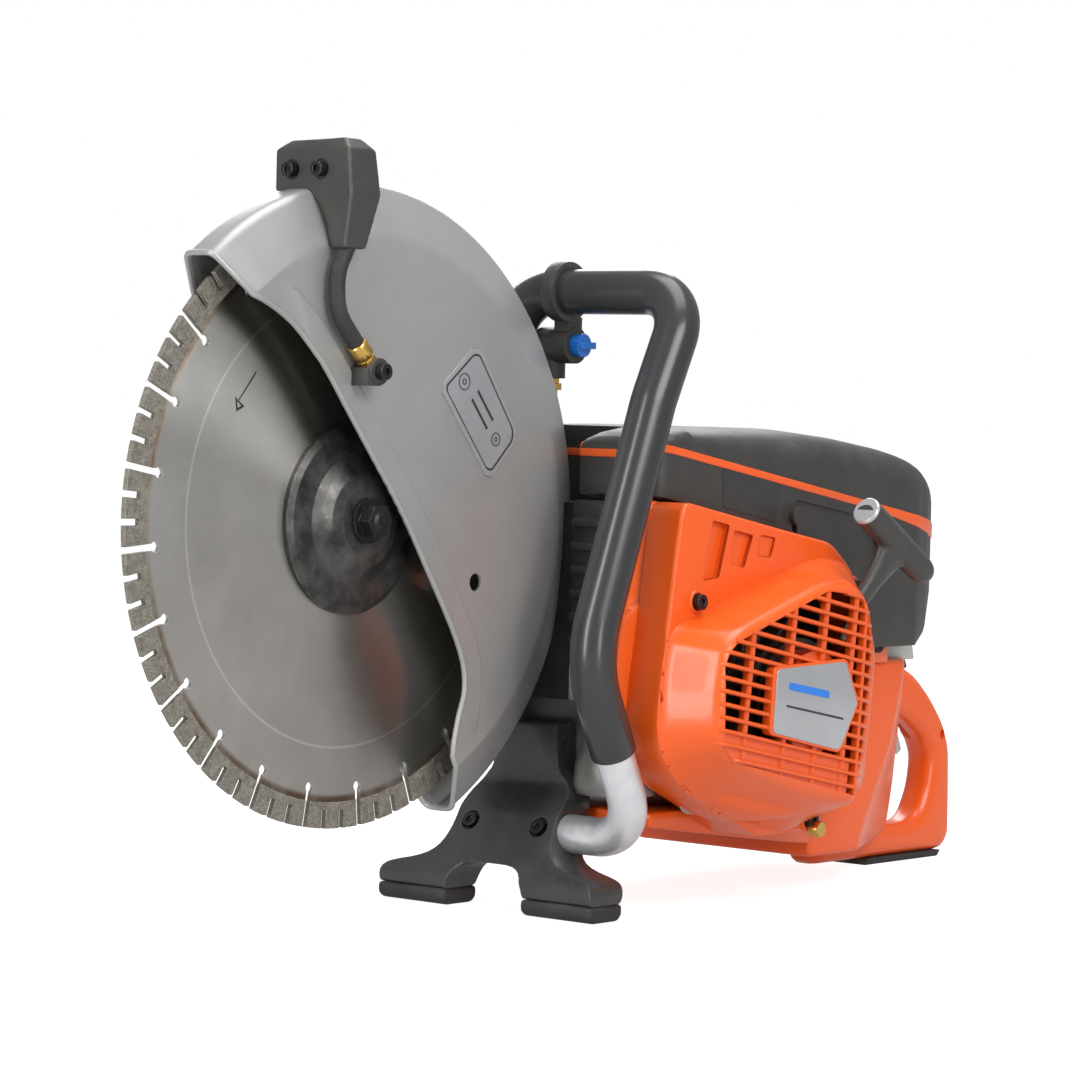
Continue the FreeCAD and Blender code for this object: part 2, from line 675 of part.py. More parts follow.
node("starter_pulley", revolved([
    (8.1, -134), (rope + 4, -134), (rope + 4, -132), (rope - 4, -130), (rope - 4, -128), (rope + 4, -126),
    (rope + 4, -124), (8.1, -124)], crank))

pull = Vector(0.6, 0, 0.8)
gripAt = Vector(342, -141, -9)
gripAxis = Vector(0.84, 0, -0.5426)


def stretch(start, direction, length):
    return start + direction * length


gripBar = fuse(
    coded(Part.makeCylinder(10, 74, stretch(gripAt, gripAxis, -36), gripAxis)),
    coded(Part.makeCone(7, 9, 34, stretch(gripAt, pull, -40), pull)))
node("starter_grip", cut(gripBar, coded(Part.makeCylinder(2.25, 34, stretch(gripAt, pull, -41), pull))))
node("grip_cap", coded(Part.makeCylinder(9.6, 2, stretch(gripAt, gripAxis, -38.2), gripAxis)))
node("starter_rope", coded(Part.makeCylinder(2.2, 26, stretch(gripAt, pull, -48), pull)))

# ---- front handle, foot and water supply -----------------------------------------
handleRoute = [(184, 36, -24), (184, 36, 136), (190, -95, 136), (158, -95, 71), (103, -95, -78),
               (158, -93, -186), (160, -38.5, -186)]
handleBends = [34, 30, 60, 60, 34]
handlePath = route(handleRoute, handleBends)
tube = coded(pipe(handlePath, cell.tubeRadius, cell.tubeRadius - cell.tubeWall))
node("front_handle", tube)

coatRoute = [(184, 36, 20)] + handleRoute[1:5] + [(131, -94, -133)]
coatPath = route(coatRoute, handleBends[:4])
node("handle_coating", coded(pipe(coatPath, cell.coatRadius, cell.tubeRadius + 0.01)))

ground = cell.groundZ
padTop = ground + cell.padThick
footFront = [(82, padTop), (82, -214), (60, -207), (46, -199), (38, -188), (38, -180), (27, -163), (24, -156),
             (24, -122), (-24, -122), (-24, -156), (-27, -163), (-38, -180), (-38, -188), (-46, -199),
             (-60, -207), (-82, -214), (-82, padTop), (-30.6, padTop), (-27, -210), (-16, -202),
             (16, -202), (27, -210), (30.6, padTop)]
footSide = [(127, padTop), (128, -214), (138, -200), (147, -186), (149, -179), (157, -162), (160, -150),
            (161, -122), (182, -122), (182, -160), (176, -186), (160, -206), (156, padTop)]
footBlock = common(frontPad(footFront, 120, 190), sidePad(footSide, -90, 90))
tubeSocket = cylinder(cell.tubeRadius + 0.05, 30, (160, -68.4, -186))
node("front_foot", cut(footBlock, cylinder(cell.guardRadius + 5, 60, (0, -30, 0)), tubeSocket))
padSide = [(126, padTop), (126, ground + 3), (130, ground), (153, ground), (157, ground + 3), (157, padTop)]
node("foot_pads", group(sidePad(padSide, -83, -29.5), sidePad(padSide, 29.5, 83)))

barDirection = (6, -131, 0)
tubeClearance = cylinder(cell.coatRadius + 0.05, 70, (184, 36, 136), barDirection)
valveClamp = fuse(cylinder(18, 9, (186, -8, 136)), box((186, -7, 106), (199, 4, 121)))
valveBody = fuse(cylinder(9, 29, (193, 12, 84), "z"), cylinder(11, 25.6, (193, -7.6, 104)))
node("water_valve", fuse(cut(valveClamp, tubeClearance), valveBody))
node("water_knob", fuse(cylinder(7, 6, (193, -13.9, 104)), box((186, -17.5, 102), (200, -13.5, 106))))
node("water_connector", fuse(cylinder(5.5, 4, (193, 12, 80), "z"), cylinder(7, 4, (193, 12, 77), "z"),
                             cylinder(4.6, 8.5, (193, 12, 69), "z")))

# ---- guard -----------------------------------------------------------------------
radius = cell.guardRadius
shoulder = cell.guardShoulder
side = cell.guardSide
band = cell.guardBand
wall = cell.guardWall
right = side - 2
outer = [(housing + 0.3, right - wall), (housing + 0.3, right), (shoulder, right), (radius, band),
         (radius, -band), (shoulder, -side), (30, -side), (30, wall - side), (shoulder - 1, wall - side),
         (radius - wall, 1.2 - band), (radius - wall, band - 1.2), (shoulder - 1, right - wall)]
sweep = float(cell.guardFront - cell.guardTail)
guardShell = revolved(outer, (0, 0, 0), sweep, float(cell.guardFront))
# the left wall's free edge, from the front lip down past the hub to the tail
freeEdge = [(-112, 126), (-84, 117), (-58, 99), (-27, 61), (12, 15), (44, -31), (73, -76), (78, -92),
            (69, -136), (79, -163), (88, -173)]
window = sidePad(freeEdge + [(60, -230), (-200, -120), (-200, 160)], -side - 5, -band + 2)
hubRing = ring(50, housing + 0.3, right - wall, right + 1)
guardHole = cylinder(5, 10, (86, -side - 3, -36))
node("blade_guard", fuse(cut(guardShell, window, guardHole), hubRing))

handleFront = [(17, 186), (17, 206), (8, 211), (-32, 212), (-39, 205), (-41, 180), (-37, 152), (-27, 152),
               (-25.4, 158), (-25.4, 162), (-20.5, 176), (-11, 190.6), (12, 190.6)]
handleSide = [(-46, 150), (-46, 206), (-42, 213), (-30, 213), (-25, 204), (-23, 182), (-30, 152)]
handleBlock = common(frontPad(handleFront, -50, -16), sidePad(handleSide, -50, 25))
node("guard_handle", handleBlock)

hoseRoute = [(-38, -32, 152), (-46, -31, 138), (-45, -31, 116), (-22, -31, 92)]
node("water_hose", coded(pipe(route(hoseRoute, [30, 25]), 4.8)))
node("hose_fitting", coded(Part.makeCylinder(5.6, 4, Vector(-21.8, -31, 91.8), Vector(0.68, 0, -0.73))))
node("spray_nozzle", fuse(box((-26, -37, 76), (-14, -side - 0.02, 86)), cylinder(7.5, 14, (-16, -38, 84))))
plateOutline = [(77, 99), (53, 79), (52, 74), (92, 26), (98, 25), (118, 45), (118, 54), (85, 99)]
node("guard_plate", sidePad(plateOutline, -side - 0.8, -side))

# ---- tank, rear handle and controls ----------------------------------------------
tankSide = [(186, -181), (186, -172.5), (344, -172.5), (350, -90), (470, -90), (470, -218), (350, -202)]
tankPlan = [(180, -78), (414, -78), (470, -30), (470, 30), (440, 60), (180, 60)]
tankBlock = common(sidePad(tankSide, -78, 60), planPad(tankPlan, -230, -80))
roomPlan = [(350, -73), (412, -73), (465, -27.5), (465, 28), (438, 55), (350, 55)]
tankRoom = common(sidePad([(354, -170), (358, -94), (466, -94), (466, -217), (354, -201)], -75, 57),
                  planPad(roomPlan, -225, -90))
handleSide = [(460, -89), (520, -92), (547, -106), (586, -141), (599, -164), (602, -183), (602, -222),
              (594, -229), (500, -229), (460, -218)]
grip = sidePad(handleSide, -18, 18)
handGap = sidePad([(484, -130), (548, -150), (559, -158), (559, -168), (543, -209), (484, -206)], -30, 30)
triggerSlot = fuse(box((500, -5.2, -152), (546, 5.2, -112)), box((540, -5.2, -165), (568, 5.2, -130)))
lockoutSlot = box((524, -4.2, -122), (566, 4.2, -90))
filler = cylinder(14, 20, (410, 50, -150))
gripEdges = rounded(cut(grip, handGap), 7, lambda edge: not along((0, 1, 0))(edge)
                    and edge.BoundBox.YLength < 0.1 and edge.BoundBox.XMin > 475)
tank = cut(fuse(tankBlock, gripEdges), tankRoom, filler, triggerSlot, lockoutSlot)
node("tank_handle", tank)
node("fuel_cap", fuse(cylinder(21, 12, (410, 60.4, -150)), cylinder(13.7, 12, (410, 50, -150)),
                      box((392, 72, -153), (428, 76, -147))))
node("rear_feet", sidePad([(504, -229.1), (500, ground), (586, ground), (590, -229.1)], -17, 17))
triggerSide = [(514, -122), (522, -117), (530, -122), (552, -148), (557, -160), (552, -163), (540, -158),
               (512, -146)]
node("throttle_trigger", cut(sidePad(triggerSide, -4.7, 4.7), cylinder(2.05, 20, (521, -10, -124))))
lockoutSide = [(528, -114), (530, -94), (560, -98), (563, -104), (552, -108), (536, -112)]
node("throttle_lockout", sidePad(lockoutSide, -3.7, 3.7))
node("stop_switch", box((504, -15, -89.5), (510, -9, -78)))
node("choke_lever", fuse(cylinder(3, 86, (340, 3, -28)), box((336, 86, -32), (344, 90, -2))))
springs = [(205, -50), (205, 12), (322, -50)]
node("vibration_springs", group(*[cylinder(9, 12.3, (x, y, -172.4), "z") for x, y in springs]))

# ---- fasteners -------------------------------------------------------------------
left = (0, -1, 0)
starterScrews = [(182, flangeY, -45), (200, flangeY, -158), (300, flangeY, -181), (340, flangeY, -40)]
solids = [screw(at, left) for at in starterScrews]
solids.append(screw((140, -77, -94), left))
solids += [screw((148.5, y, -184), (-0.86, 0, 0.5)) for y in (-26.5, 26.5)]
solids += [screw((x, 68, z), (0, 1, 0)) for x, z in ((-54.6, 31.5), (-54.6, -31.5), (128, 6), (150, -116))]
node("housing_screws", coded(Part.Compound(solids)))
guardSolids = [screw((-46, y, 195), (-1, 0, 0), 4.2, 10) for y in (4, -18)]
guardSolids.append(screw((-16, -38, 84), left, 4.6, 8))
node("guard_screws", coded(Part.Compound(guardSolids)))

# ---- check and write -------------------------------------------------------------
doc.recompute()
for item in doc.Objects:
    if "Invalid" in item.State or "Error" in item.State:
        raise RuntimeError("failed: %s %s" % (item.Label, item.State))
for name, item in nodes.items():
    shape = item.Shape
    if shape.isNull() or not shape.isValid() or not shape.Solids:
        raise RuntimeError("bad shape: " + name)

os.makedirs("parts", exist_ok=True)
for name, item in nodes.items():
    item.Shape.exportStep("parts/%s.step" % name)

whole = FreeCAD.BoundBox()
for item in nodes.values():
    whole.add(item.Shape.BoundBox)
print("%d nodes, box x %.1f..%.1f y %.1f..%.1f z %.1f..%.1f" % (
    len(nodes), whole.XMin, whole.XMax, whole.YMin, whole.YMax, whole.ZMin, whole.ZMax))
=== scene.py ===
import json
import math
from math import cos, radians, sin

import bmesh
import bpy
from mathutils import Matrix, Vector

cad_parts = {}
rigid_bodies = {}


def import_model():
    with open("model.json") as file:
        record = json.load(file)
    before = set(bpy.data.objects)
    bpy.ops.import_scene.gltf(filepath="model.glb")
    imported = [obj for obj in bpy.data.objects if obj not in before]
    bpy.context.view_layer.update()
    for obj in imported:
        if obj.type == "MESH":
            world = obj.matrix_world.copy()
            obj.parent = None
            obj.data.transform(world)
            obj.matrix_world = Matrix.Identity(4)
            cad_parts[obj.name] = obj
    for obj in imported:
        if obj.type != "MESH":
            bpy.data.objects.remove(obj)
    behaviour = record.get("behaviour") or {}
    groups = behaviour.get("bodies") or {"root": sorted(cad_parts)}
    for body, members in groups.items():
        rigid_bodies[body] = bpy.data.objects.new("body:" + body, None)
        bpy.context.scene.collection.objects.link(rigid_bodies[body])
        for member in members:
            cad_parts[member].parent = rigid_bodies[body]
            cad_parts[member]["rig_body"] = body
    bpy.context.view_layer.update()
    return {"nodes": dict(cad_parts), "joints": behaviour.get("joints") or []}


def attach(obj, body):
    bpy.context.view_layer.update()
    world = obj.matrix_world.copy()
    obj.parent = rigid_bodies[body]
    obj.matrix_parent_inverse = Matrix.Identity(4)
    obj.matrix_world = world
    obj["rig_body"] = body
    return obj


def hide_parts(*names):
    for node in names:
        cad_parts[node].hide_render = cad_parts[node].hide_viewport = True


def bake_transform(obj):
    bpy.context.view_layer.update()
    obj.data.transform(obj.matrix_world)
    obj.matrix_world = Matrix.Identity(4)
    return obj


# concrete cut-off saw: looks built round the fixed frame
# sizes below are millimetres from the blade arbor: -x ahead, -y starter side, +z up

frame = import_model()
nodes = frame["nodes"]
pivots = {j["name"]: j.get("pos_m") for j in frame["joints"]}
arbor = Vector(pivots["blade_spin"])
crank = (Vector(pivots["crank_spin"]) - arbor) * 1000
mm = 0.001


def at(x, y, z):
    return arbor + Vector((x, y, z)) * mm


# camera, placed from the arbor in mm and turned in degrees
cameraSetup = {
    "place": (-1604.1, -1470.5, 68.2),
    "azimuth": -50.38,
    "elevation": 2.02,
    "roll": 1.425,
    "lens": 128.15,
    "sensor": 36,
}


def makeCamera(setup):
    a, e, roll = (radians(setup[k]) for k in ("azimuth", "elevation", "roll"))
    back = Vector((sin(a) * cos(e), -cos(a) * cos(e), sin(e)))
    right = Vector((cos(a), sin(a), 0))
    up = back.cross(right)
    tiltedRight = right * cos(roll) + up * sin(roll)
    tiltedUp = up * cos(roll) - right * sin(roll)
    data = bpy.data.cameras.new("camera")
    data.lens = setup["lens"]
    data.sensor_width = setup["sensor"]
    data.clip_start = 0.05
    camera = bpy.data.objects.new("camera", data)
    bpy.context.scene.collection.objects.link(camera)
    turn = Matrix((tiltedRight, tiltedUp, back)).transposed().to_4x4()
    camera.matrix_world = Matrix.Translation(at(*setup["place"])) @ turn
    bpy.context.scene.camera = camera


makeCamera(cameraSetup)
print("camera ready")


# shared shader groups
def newGroup(name, inputs, outputs):
    tree = bpy.data.node_groups.new(name, "ShaderNodeTree")
    for label, kind, value in inputs:
        socket = tree.interface.new_socket(name=label, in_out="INPUT", socket_type=kind)
        socket.default_value = value
    for label, kind in outputs:
        tree.interface.new_socket(name=label, in_out="OUTPUT", socket_type=kind)
    return tree, tree.nodes.new("NodeGroupInput"), tree.nodes.new("NodeGroupOutput")


def mathNode(tree, operation, a, b=None, clamp=False):
    node = tree.nodes.new("ShaderNodeMath")
    node.operation = operation
    node.use_clamp = clamp
    for socket, value in zip(node.inputs, (a, b)):
        if value is None:
            continue
        if isinstance(value, (int, float)):
            socket.default_value = value
        else:
            tree.links.new(value, socket)
    return node.outputs[0]


def rampNode(tree, value, low, high, outLow=0.0, outHigh=1.0):
    node = tree.nodes.new("ShaderNodeMapRange")
    tree.links.new(value, node.inputs["Value"])
    for label, number in (("From Min", low), ("From Max", high), ("To Min", outLow), ("To Max", outHigh)):
        node.inputs[label].default_value = number
    return node.outputs[0]


def mixColour(tree, factor, first, second, blend="MIX"):
    node = tree.nodes.new("ShaderNodeMix")
    node.data_type = "RGBA"
    node.blend_type = blend
    sockets = [node.inputs["Factor"]] + [s for s in node.inputs if s.type == "RGBA"]
    for socket, value in zip(sockets, (factor, first, second)):
        if hasattr(value, "is_linked"):
            tree.links.new(value, socket)
        elif isinstance(value, (tuple, list)):
            socket.default_value = (*value[:3], 1)
        else:
            socket.default_value = value
    return next(s for s in node.outputs if s.type == "RGBA")


def noiseNode(tree, vector, scale, detail=4.0, rough=0.55):
    node = tree.nodes.new("ShaderNodeTexNoise")
    tree.links.new(vector, node.inputs["Vector"])
    if isinstance(scale, (int, float)):
        node.inputs["Scale"].default_value = scale
    else:
        tree.links.new(scale, node.inputs["Scale"])
    node.inputs["Detail"].default_value = detail
    node.inputs["Roughness"].default_value = rough
    return node.outputs["Fac"]


def objectPoint(tree):
    return tree.nodes.new("ShaderNodeTexCoord").outputs["Object"]


def buildEdgeGroup():
    tree, given, made = newGroup(
        "edgeWear",
        [("Radius", "NodeSocketFloat", 0.0006), ("Patches", "NodeSocketFloat", 60.0),
         ("Amount", "NodeSocketFloat", 0.5)],
        [("Normal", "NodeSocketVector"), ("Wear", "NodeSocketFloat")])
    bevel = tree.nodes.new("ShaderNodeBevel")
    bevel.samples = 4
    tree.links.new(given.outputs["Radius"], bevel.inputs["Radius"])
    geometry = tree.nodes.new("ShaderNodeNewGeometry")
    dot = tree.nodes.new("ShaderNodeVectorMath")
    dot.operation = "DOT_PRODUCT"
    tree.links.new(bevel.outputs[0], dot.inputs[0])
    tree.links.new(geometry.outputs["True Normal"], dot.inputs[1])
    turn = rampNode(tree, dot.outputs["Value"], 0.985, 0.8)
    patches = noiseNode(tree, objectPoint(tree), given.outputs["Patches"], 6.0, 0.65)
    broken = rampNode(tree, patches, 0.45, 0.62)
    wear = mathNode(tree, "MULTIPLY", turn, broken)
    wear = mathNode(tree, "MULTIPLY", wear, given.outputs["Amount"], True)
    tree.links.new(bevel.outputs[0], made.inputs["Normal"])
    tree.links.new(wear, made.inputs["Wear"])
    return tree


def buildGrainGroup():
    tree, given, made = newGroup(
        "surfaceGrain",
        [("Scale", "NodeSocketFloat", 900.0), ("Mottle", "NodeSocketFloat", 14.0)],
        [("Height", "NodeSocketFloat"), ("Mottling", "NodeSocketFloat"), ("Smudge", "NodeSocketFloat")])
    point = objectPoint(tree)
    tree.links.new(noiseNode(tree, point, given.outputs["Scale"], 3.0, 0.6), made.inputs["Height"])
    tree.links.new(noiseNode(tree, point, given.outputs["Mottle"], 5.0, 0.6), made.inputs["Mottling"])
    smudge = mathNode(tree, "MULTIPLY", given.outputs["Mottle"], 3.1)
    tree.links.new(noiseNode(tree, point, smudge, 7.0, 0.7), made.inputs["Smudge"])
    return tree


def buildDustGroup():
    tree, given, made = newGroup(
        "fineDust",
        [("Scale", "NodeSocketFloat", 40.0), ("Amount", "NodeSocketFloat", 0.15)],
        [("Mask", "NodeSocketFloat")])
    geometry = tree.nodes.new("ShaderNodeNewGeometry")
    parts = tree.nodes.new("ShaderNodeSeparateXYZ")
    tree.links.new(geometry.outputs["Normal"], parts.inputs[0])
    upward = rampNode(tree, parts.outputs["Z"], -0.2, 1.0, 0.15, 1.0)
    speckle = rampNode(tree, noiseNode(tree, objectPoint(tree), given.outputs["Scale"], 8.0, 0.7), 0.42, 0.75)
    mask = mathNode(tree, "MULTIPLY", upward, speckle)
    tree.links.new(mathNode(tree, "MULTIPLY", mask, given.outputs["Amount"], True), made.inputs["Mask"])
    return tree


edgeGroup = buildEdgeGroup()
grainGroup = buildGrainGroup()
dustGroup = buildDustGroup()


def groupNode(tree, group, **values):
    node = tree.nodes.new("ShaderNodeGroup")
    node.node_tree = group
    for label, value in values.items():
        node.inputs[label].default_value = value
    return node


def blankMaterial(name):
    material = bpy.data.materials.new(name)
    material.use_nodes = True
    tree = material.node_tree
    return material, tree, tree.nodes["Principled BSDF"]


def finishMaterial(name, look):
    material, tree, surface = blankMaterial(name)
    grain = groupNode(tree, grainGroup, Scale=look.get("grain", 900), Mottle=look.get("mottle", 14))
    edge = groupNode(tree, edgeGroup, Radius=look.get("edge", 0.6) * mm, Patches=look.get("patches", 60),
                     Amount=look.get("wear", 0.3))
    dust = groupNode(tree, dustGroup, Scale=look.get("dustScale", 45), Amount=look.get("dust", 0.06))
    shade = rampNode(tree, grain.outputs["Mottling"], 0.35, 0.68)
    colour = mixColour(tree, shade, look["colour"], look.get("second", look["colour"]))
    colour = mixColour(tree, edge.outputs["Wear"], colour, look.get("wearColour", (0.5, 0.5, 0.5)))
    colour = mixColour(tree, dust.outputs["Mask"], colour, look.get("dustColour", (0.5, 0.47, 0.42)))
    tree.links.new(colour, surface.inputs["Base Color"])
    low, high = look["rough"]
    rough = rampNode(tree, grain.outputs["Smudge"], 0.35, 0.7, low, high)
    rough = mathNode(tree, "ADD", rough, mathNode(tree, "MULTIPLY", dust.outputs["Mask"], 0.4), True)
    tree.links.new(rough, surface.inputs["Roughness"])
    surface.inputs["Metallic"].default_value = look.get("metal", 0)
    surface.inputs["Coat Weight"].default_value = look.get("coat", 0)
    surface.inputs["Coat Roughness"].default_value = look.get("coatRough", 0.08)
    surface.inputs["Specular IOR Level"].default_value = look.get("specular", 0.5)
    bump = tree.nodes.new("ShaderNodeBump")
    bump.inputs["Strength"].default_value = look.get("bump", 0.15)
    bump.inputs["Distance"].default_value = look.get("depth", 0.15) * mm
    tree.links.new(grain.outputs["Height"], bump.inputs["Height"])
    tree.links.new(edge.outputs["Normal"], bump.inputs["Normal"])
    tree.links.new(bump.outputs["Normal"], surface.inputs["Normal"])
    return material


finishes = {
    "guardPaint": {"colour": (0.34, 0.337, 0.328), "second": (0.31, 0.307, 0.298), "rough": (0.30, 0.40),
                   "metal": 0.35, "grain": 2600, "bump": 0.10, "depth": 0.05, "wear": 0.5,
                   "wearColour": (0.62, 0.62, 0.60), "dust": 0.05},
    "guardInside": {"colour": (0.012, 0.012, 0.012), "second": (0.03, 0.029, 0.027), "rough": (0.55, 0.8),
                    "grain": 500, "bump": 0.5, "depth": 0.3, "dust": 0.10, "wear": 0.1},
    "orangeShell": {"colour": (0.76, 0.098, 0.006), "second": (0.74, 0.092, 0.005), "rough": (0.28, 0.36),
                    "coat": 0.1, "coatRough": 0.05, "grain": 1500, "bump": 0.03, "depth": 0.05, "wear": 0.12,
                    "wearColour": (0.95, 0.35, 0.14), "dust": 0.02, "edge": 0.8},
    "darkPlastic": {"colour": (0.028, 0.027, 0.024), "second": (0.034, 0.033, 0.030), "rough": (0.42, 0.52),
                    "grain": 2200, "bump": 0.35, "depth": 0.10, "wear": 0.25,
                    "wearColour": (0.13, 0.13, 0.125), "dust": 0.08},
    "gripPlastic": {"colour": (0.034, 0.033, 0.030), "second": (0.040, 0.038, 0.034), "rough": (0.34, 0.46),
                    "grain": 2600, "bump": 0.25, "depth": 0.08, "wear": 0.3, "wearColour": (0.16, 0.155, 0.15),
                    "dust": 0.06},
    "handleCoat": {"colour": (0.026, 0.028, 0.029), "second": (0.030, 0.032, 0.033), "rough": (0.24, 0.27),
                   "grain": 3000, "bump": 0.05, "depth": 0.03, "wear": 0.0, "dust": 0.0},
    "greyCasting": {"colour": (0.044, 0.046, 0.046), "second": (0.055, 0.057, 0.056), "rough": (0.24, 0.36),
                    "metal": 0.25, "grain": 900, "bump": 0.22, "depth": 0.12, "wear": 0.5,
                    "wearColour": (0.30, 0.30, 0.29), "dust": 0.06, "edge": 1.2},
    "bareCasting": {"colour": (0.26, 0.255, 0.24), "second": (0.13, 0.125, 0.115), "rough": (0.38, 0.55),
                    "metal": 0.85, "grain": 700, "bump": 0.45, "depth": 0.25, "wear": 0.4,
                    "wearColour": (0.75, 0.74, 0.72), "dust": 0.1},
    "bareTube": {"colour": (0.78, 0.79, 0.80), "second": (0.62, 0.64, 0.66), "rough": (0.30, 0.46),
                 "metal": 0.75, "grain": 420, "mottle": 38, "bump": 0.35, "depth": 0.22, "wear": 0.2,
                 "wearColour": (0.9, 0.9, 0.9), "dust": 0.02},
    "blackSteel": {"colour": (0.022, 0.022, 0.024), "second": (0.034, 0.033, 0.034), "rough": (0.34, 0.48),
                   "metal": 0.8, "grain": 1500, "bump": 0.2, "depth": 0.08, "wear": 0.85,
                   "wearColour": (0.30, 0.29, 0.27), "patches": 120, "dust": 0.08},
    "wornSteel": {"colour": (0.028, 0.027, 0.026), "second": (0.10, 0.096, 0.09), "rough": (0.26, 0.45),
                  "metal": 0.7, "grain": 900, "mottle": 60, "bump": 0.3, "depth": 0.1, "wear": 0.9,
                  "wearColour": (0.6, 0.58, 0.55), "patches": 150, "dust": 0.05},
    "brightSteel": {"colour": (0.55, 0.55, 0.54), "second": (0.45, 0.45, 0.44), "rough": (0.2, 0.32),
                    "metal": 1.0, "grain": 900, "bump": 0.1, "depth": 0.05, "wear": 0.3,
                    "wearColour": (0.8, 0.8, 0.8), "dust": 0.02},
    "rubber": {"colour": (0.012, 0.012, 0.012), "second": (0.019, 0.018, 0.018), "rough": (0.55, 0.72),
               "grain": 1400, "bump": 0.4, "depth": 0.12, "wear": 0.35, "wearColour": (0.07, 0.068, 0.065),
               "dust": 0.14},
    "brass": {"colour": (0.72, 0.47, 0.13), "second": (0.60, 0.38, 0.10), "rough": (0.22, 0.36), "metal": 1.0,
              "grain": 900, "bump": 0.1, "depth": 0.05, "wear": 0.4, "wearColour": (0.9, 0.72, 0.35),
              "dust": 0.03},
    "bluePlastic": {"colour": (0.008, 0.16, 0.62), "second": (0.01, 0.19, 0.68), "rough": (0.2, 0.3),
                    "coat": 0.2, "grain": 1500, "bump": 0.06, "depth": 0.05, "wear": 0.15,
                    "wearColour": (0.3, 0.45, 0.8), "dust": 0.03},
    "redPlastic": {"colour": (0.42, 0.030, 0.012), "second": (0.36, 0.026, 0.012), "rough": (0.25, 0.35),
                   "grain": 1500, "bump": 0.06, "depth": 0.05, "wear": 0.15, "wearColour": (0.6, 0.2, 0.15),
                   "dust": 0.03},
    "plateMetal": {"colour": (0.46, 0.47, 0.48), "second": (0.42, 0.43, 0.44), "rough": (0.28, 0.36),
                   "metal": 0.55, "grain": 1800, "bump": 0.08, "depth": 0.03, "wear": 0.4,
                   "wearColour": (0.8, 0.8, 0.8), "dust": 0.03},
    "greyPlastic": {"colour": (0.40, 0.40, 0.375), "second": (0.37, 0.37, 0.345), "rough": (0.38, 0.48),
                    "grain": 1800, "bump": 0.1, "depth": 0.05, "wear": 0.2, "wearColour": (0.6, 0.6, 0.58),
                    "dust": 0.05},
    "heatproofBlack": {"colour": (0.012, 0.012, 0.012), "second": (0.022, 0.021, 0.020), "rough": (0.5, 0.68),
                       "metal": 0.3, "grain": 800, "bump": 0.35, "depth": 0.15, "wear": 0.4,
                       "wearColour": (0.12, 0.11, 0.10), "dust": 0.12},
    "printInk": {"colour": (0.02, 0.02, 0.022), "second": (0.03, 0.03, 0.03), "rough": (0.4, 0.5),
                 "grain": 900, "bump": 0.05, "depth": 0.02, "wear": 0.0, "dust": 0.02},
    "filterPaper": {"colour": (0.62, 0.56, 0.40), "second": (0.55, 0.49, 0.34), "rough": (0.8, 0.95),
                    "grain": 700, "bump": 0.4, "depth": 0.2, "wear": 0.0, "dust": 0.1},
    "ropeCord": {"colour": (0.42, 0.40, 0.34), "second": (0.33, 0.31, 0.26), "rough": (0.75, 0.9),
                 "grain": 1600, "bump": 0.6, "depth": 0.3, "wear": 0.0, "dust": 0.1},
}
material = {name: finishMaterial(name, look) for name, look in finishes.items()}


# blade steel: turned face, pale ring, heat-tinted weld line
bladeLook = {
    "core": (0.50, 0.485, 0.455),
    "dark": (0.40, 0.385, 0.355),
    "weld": (0.20, 0.13, 0.07),
    "grit": (0.15, 0.135, 0.11),
    "stone": (0.30, 0.28, 0.235),
    "ringRadius": 129,
    "ringWidth": 0.45,
    "weldRadius": 159.2,
    "weldWidth": 1.3,
}


def polarGroup():
    tree, given, made = newGroup(
        "discPolar", [("Centre", "NodeSocketVector", tuple(arbor))],
        [("Radius", "NodeSocketFloat"), ("Angle", "NodeSocketFloat"), ("Turned", "NodeSocketVector")])
    offset = tree.nodes.new("ShaderNodeVectorMath")
    offset.operation = "SUBTRACT"
    tree.links.new(objectPoint(tree), offset.inputs[0])
    tree.links.new(given.outputs["Centre"], offset.inputs[1])
    parts = tree.nodes.new("ShaderNodeSeparateXYZ")
    tree.links.new(offset.outputs[0], parts.inputs[0])
    squares = [mathNode(tree, "MULTIPLY", parts.outputs[k], parts.outputs[k]) for k in ("X", "Z")]
    radius = mathNode(tree, "SQRT", mathNode(tree, "ADD", *squares))
    angle = mathNode(tree, "ARCTAN2", parts.outputs["Z"], parts.outputs["X"])
    turned = tree.nodes.new("ShaderNodeCombineXYZ")
    tree.links.new(mathNode(tree, "MULTIPLY", radius, 1600.0), turned.inputs["X"])
    tree.links.new(mathNode(tree, "MULTIPLY", angle, 2.2), turned.inputs["Y"])
    for label, socket in (("Radius", radius), ("Angle", angle), ("Turned", turned.outputs[0])):
        tree.links.new(socket, made.inputs[label])
    return tree


discGroup = polarGroup()


def band(tree, radius, middle, half, soft):
    away = mathNode(tree, "ABSOLUTE", mathNode(tree, "SUBTRACT", radius, middle * mm))
    return rampNode(tree, away, (half + soft) * mm, half * mm)


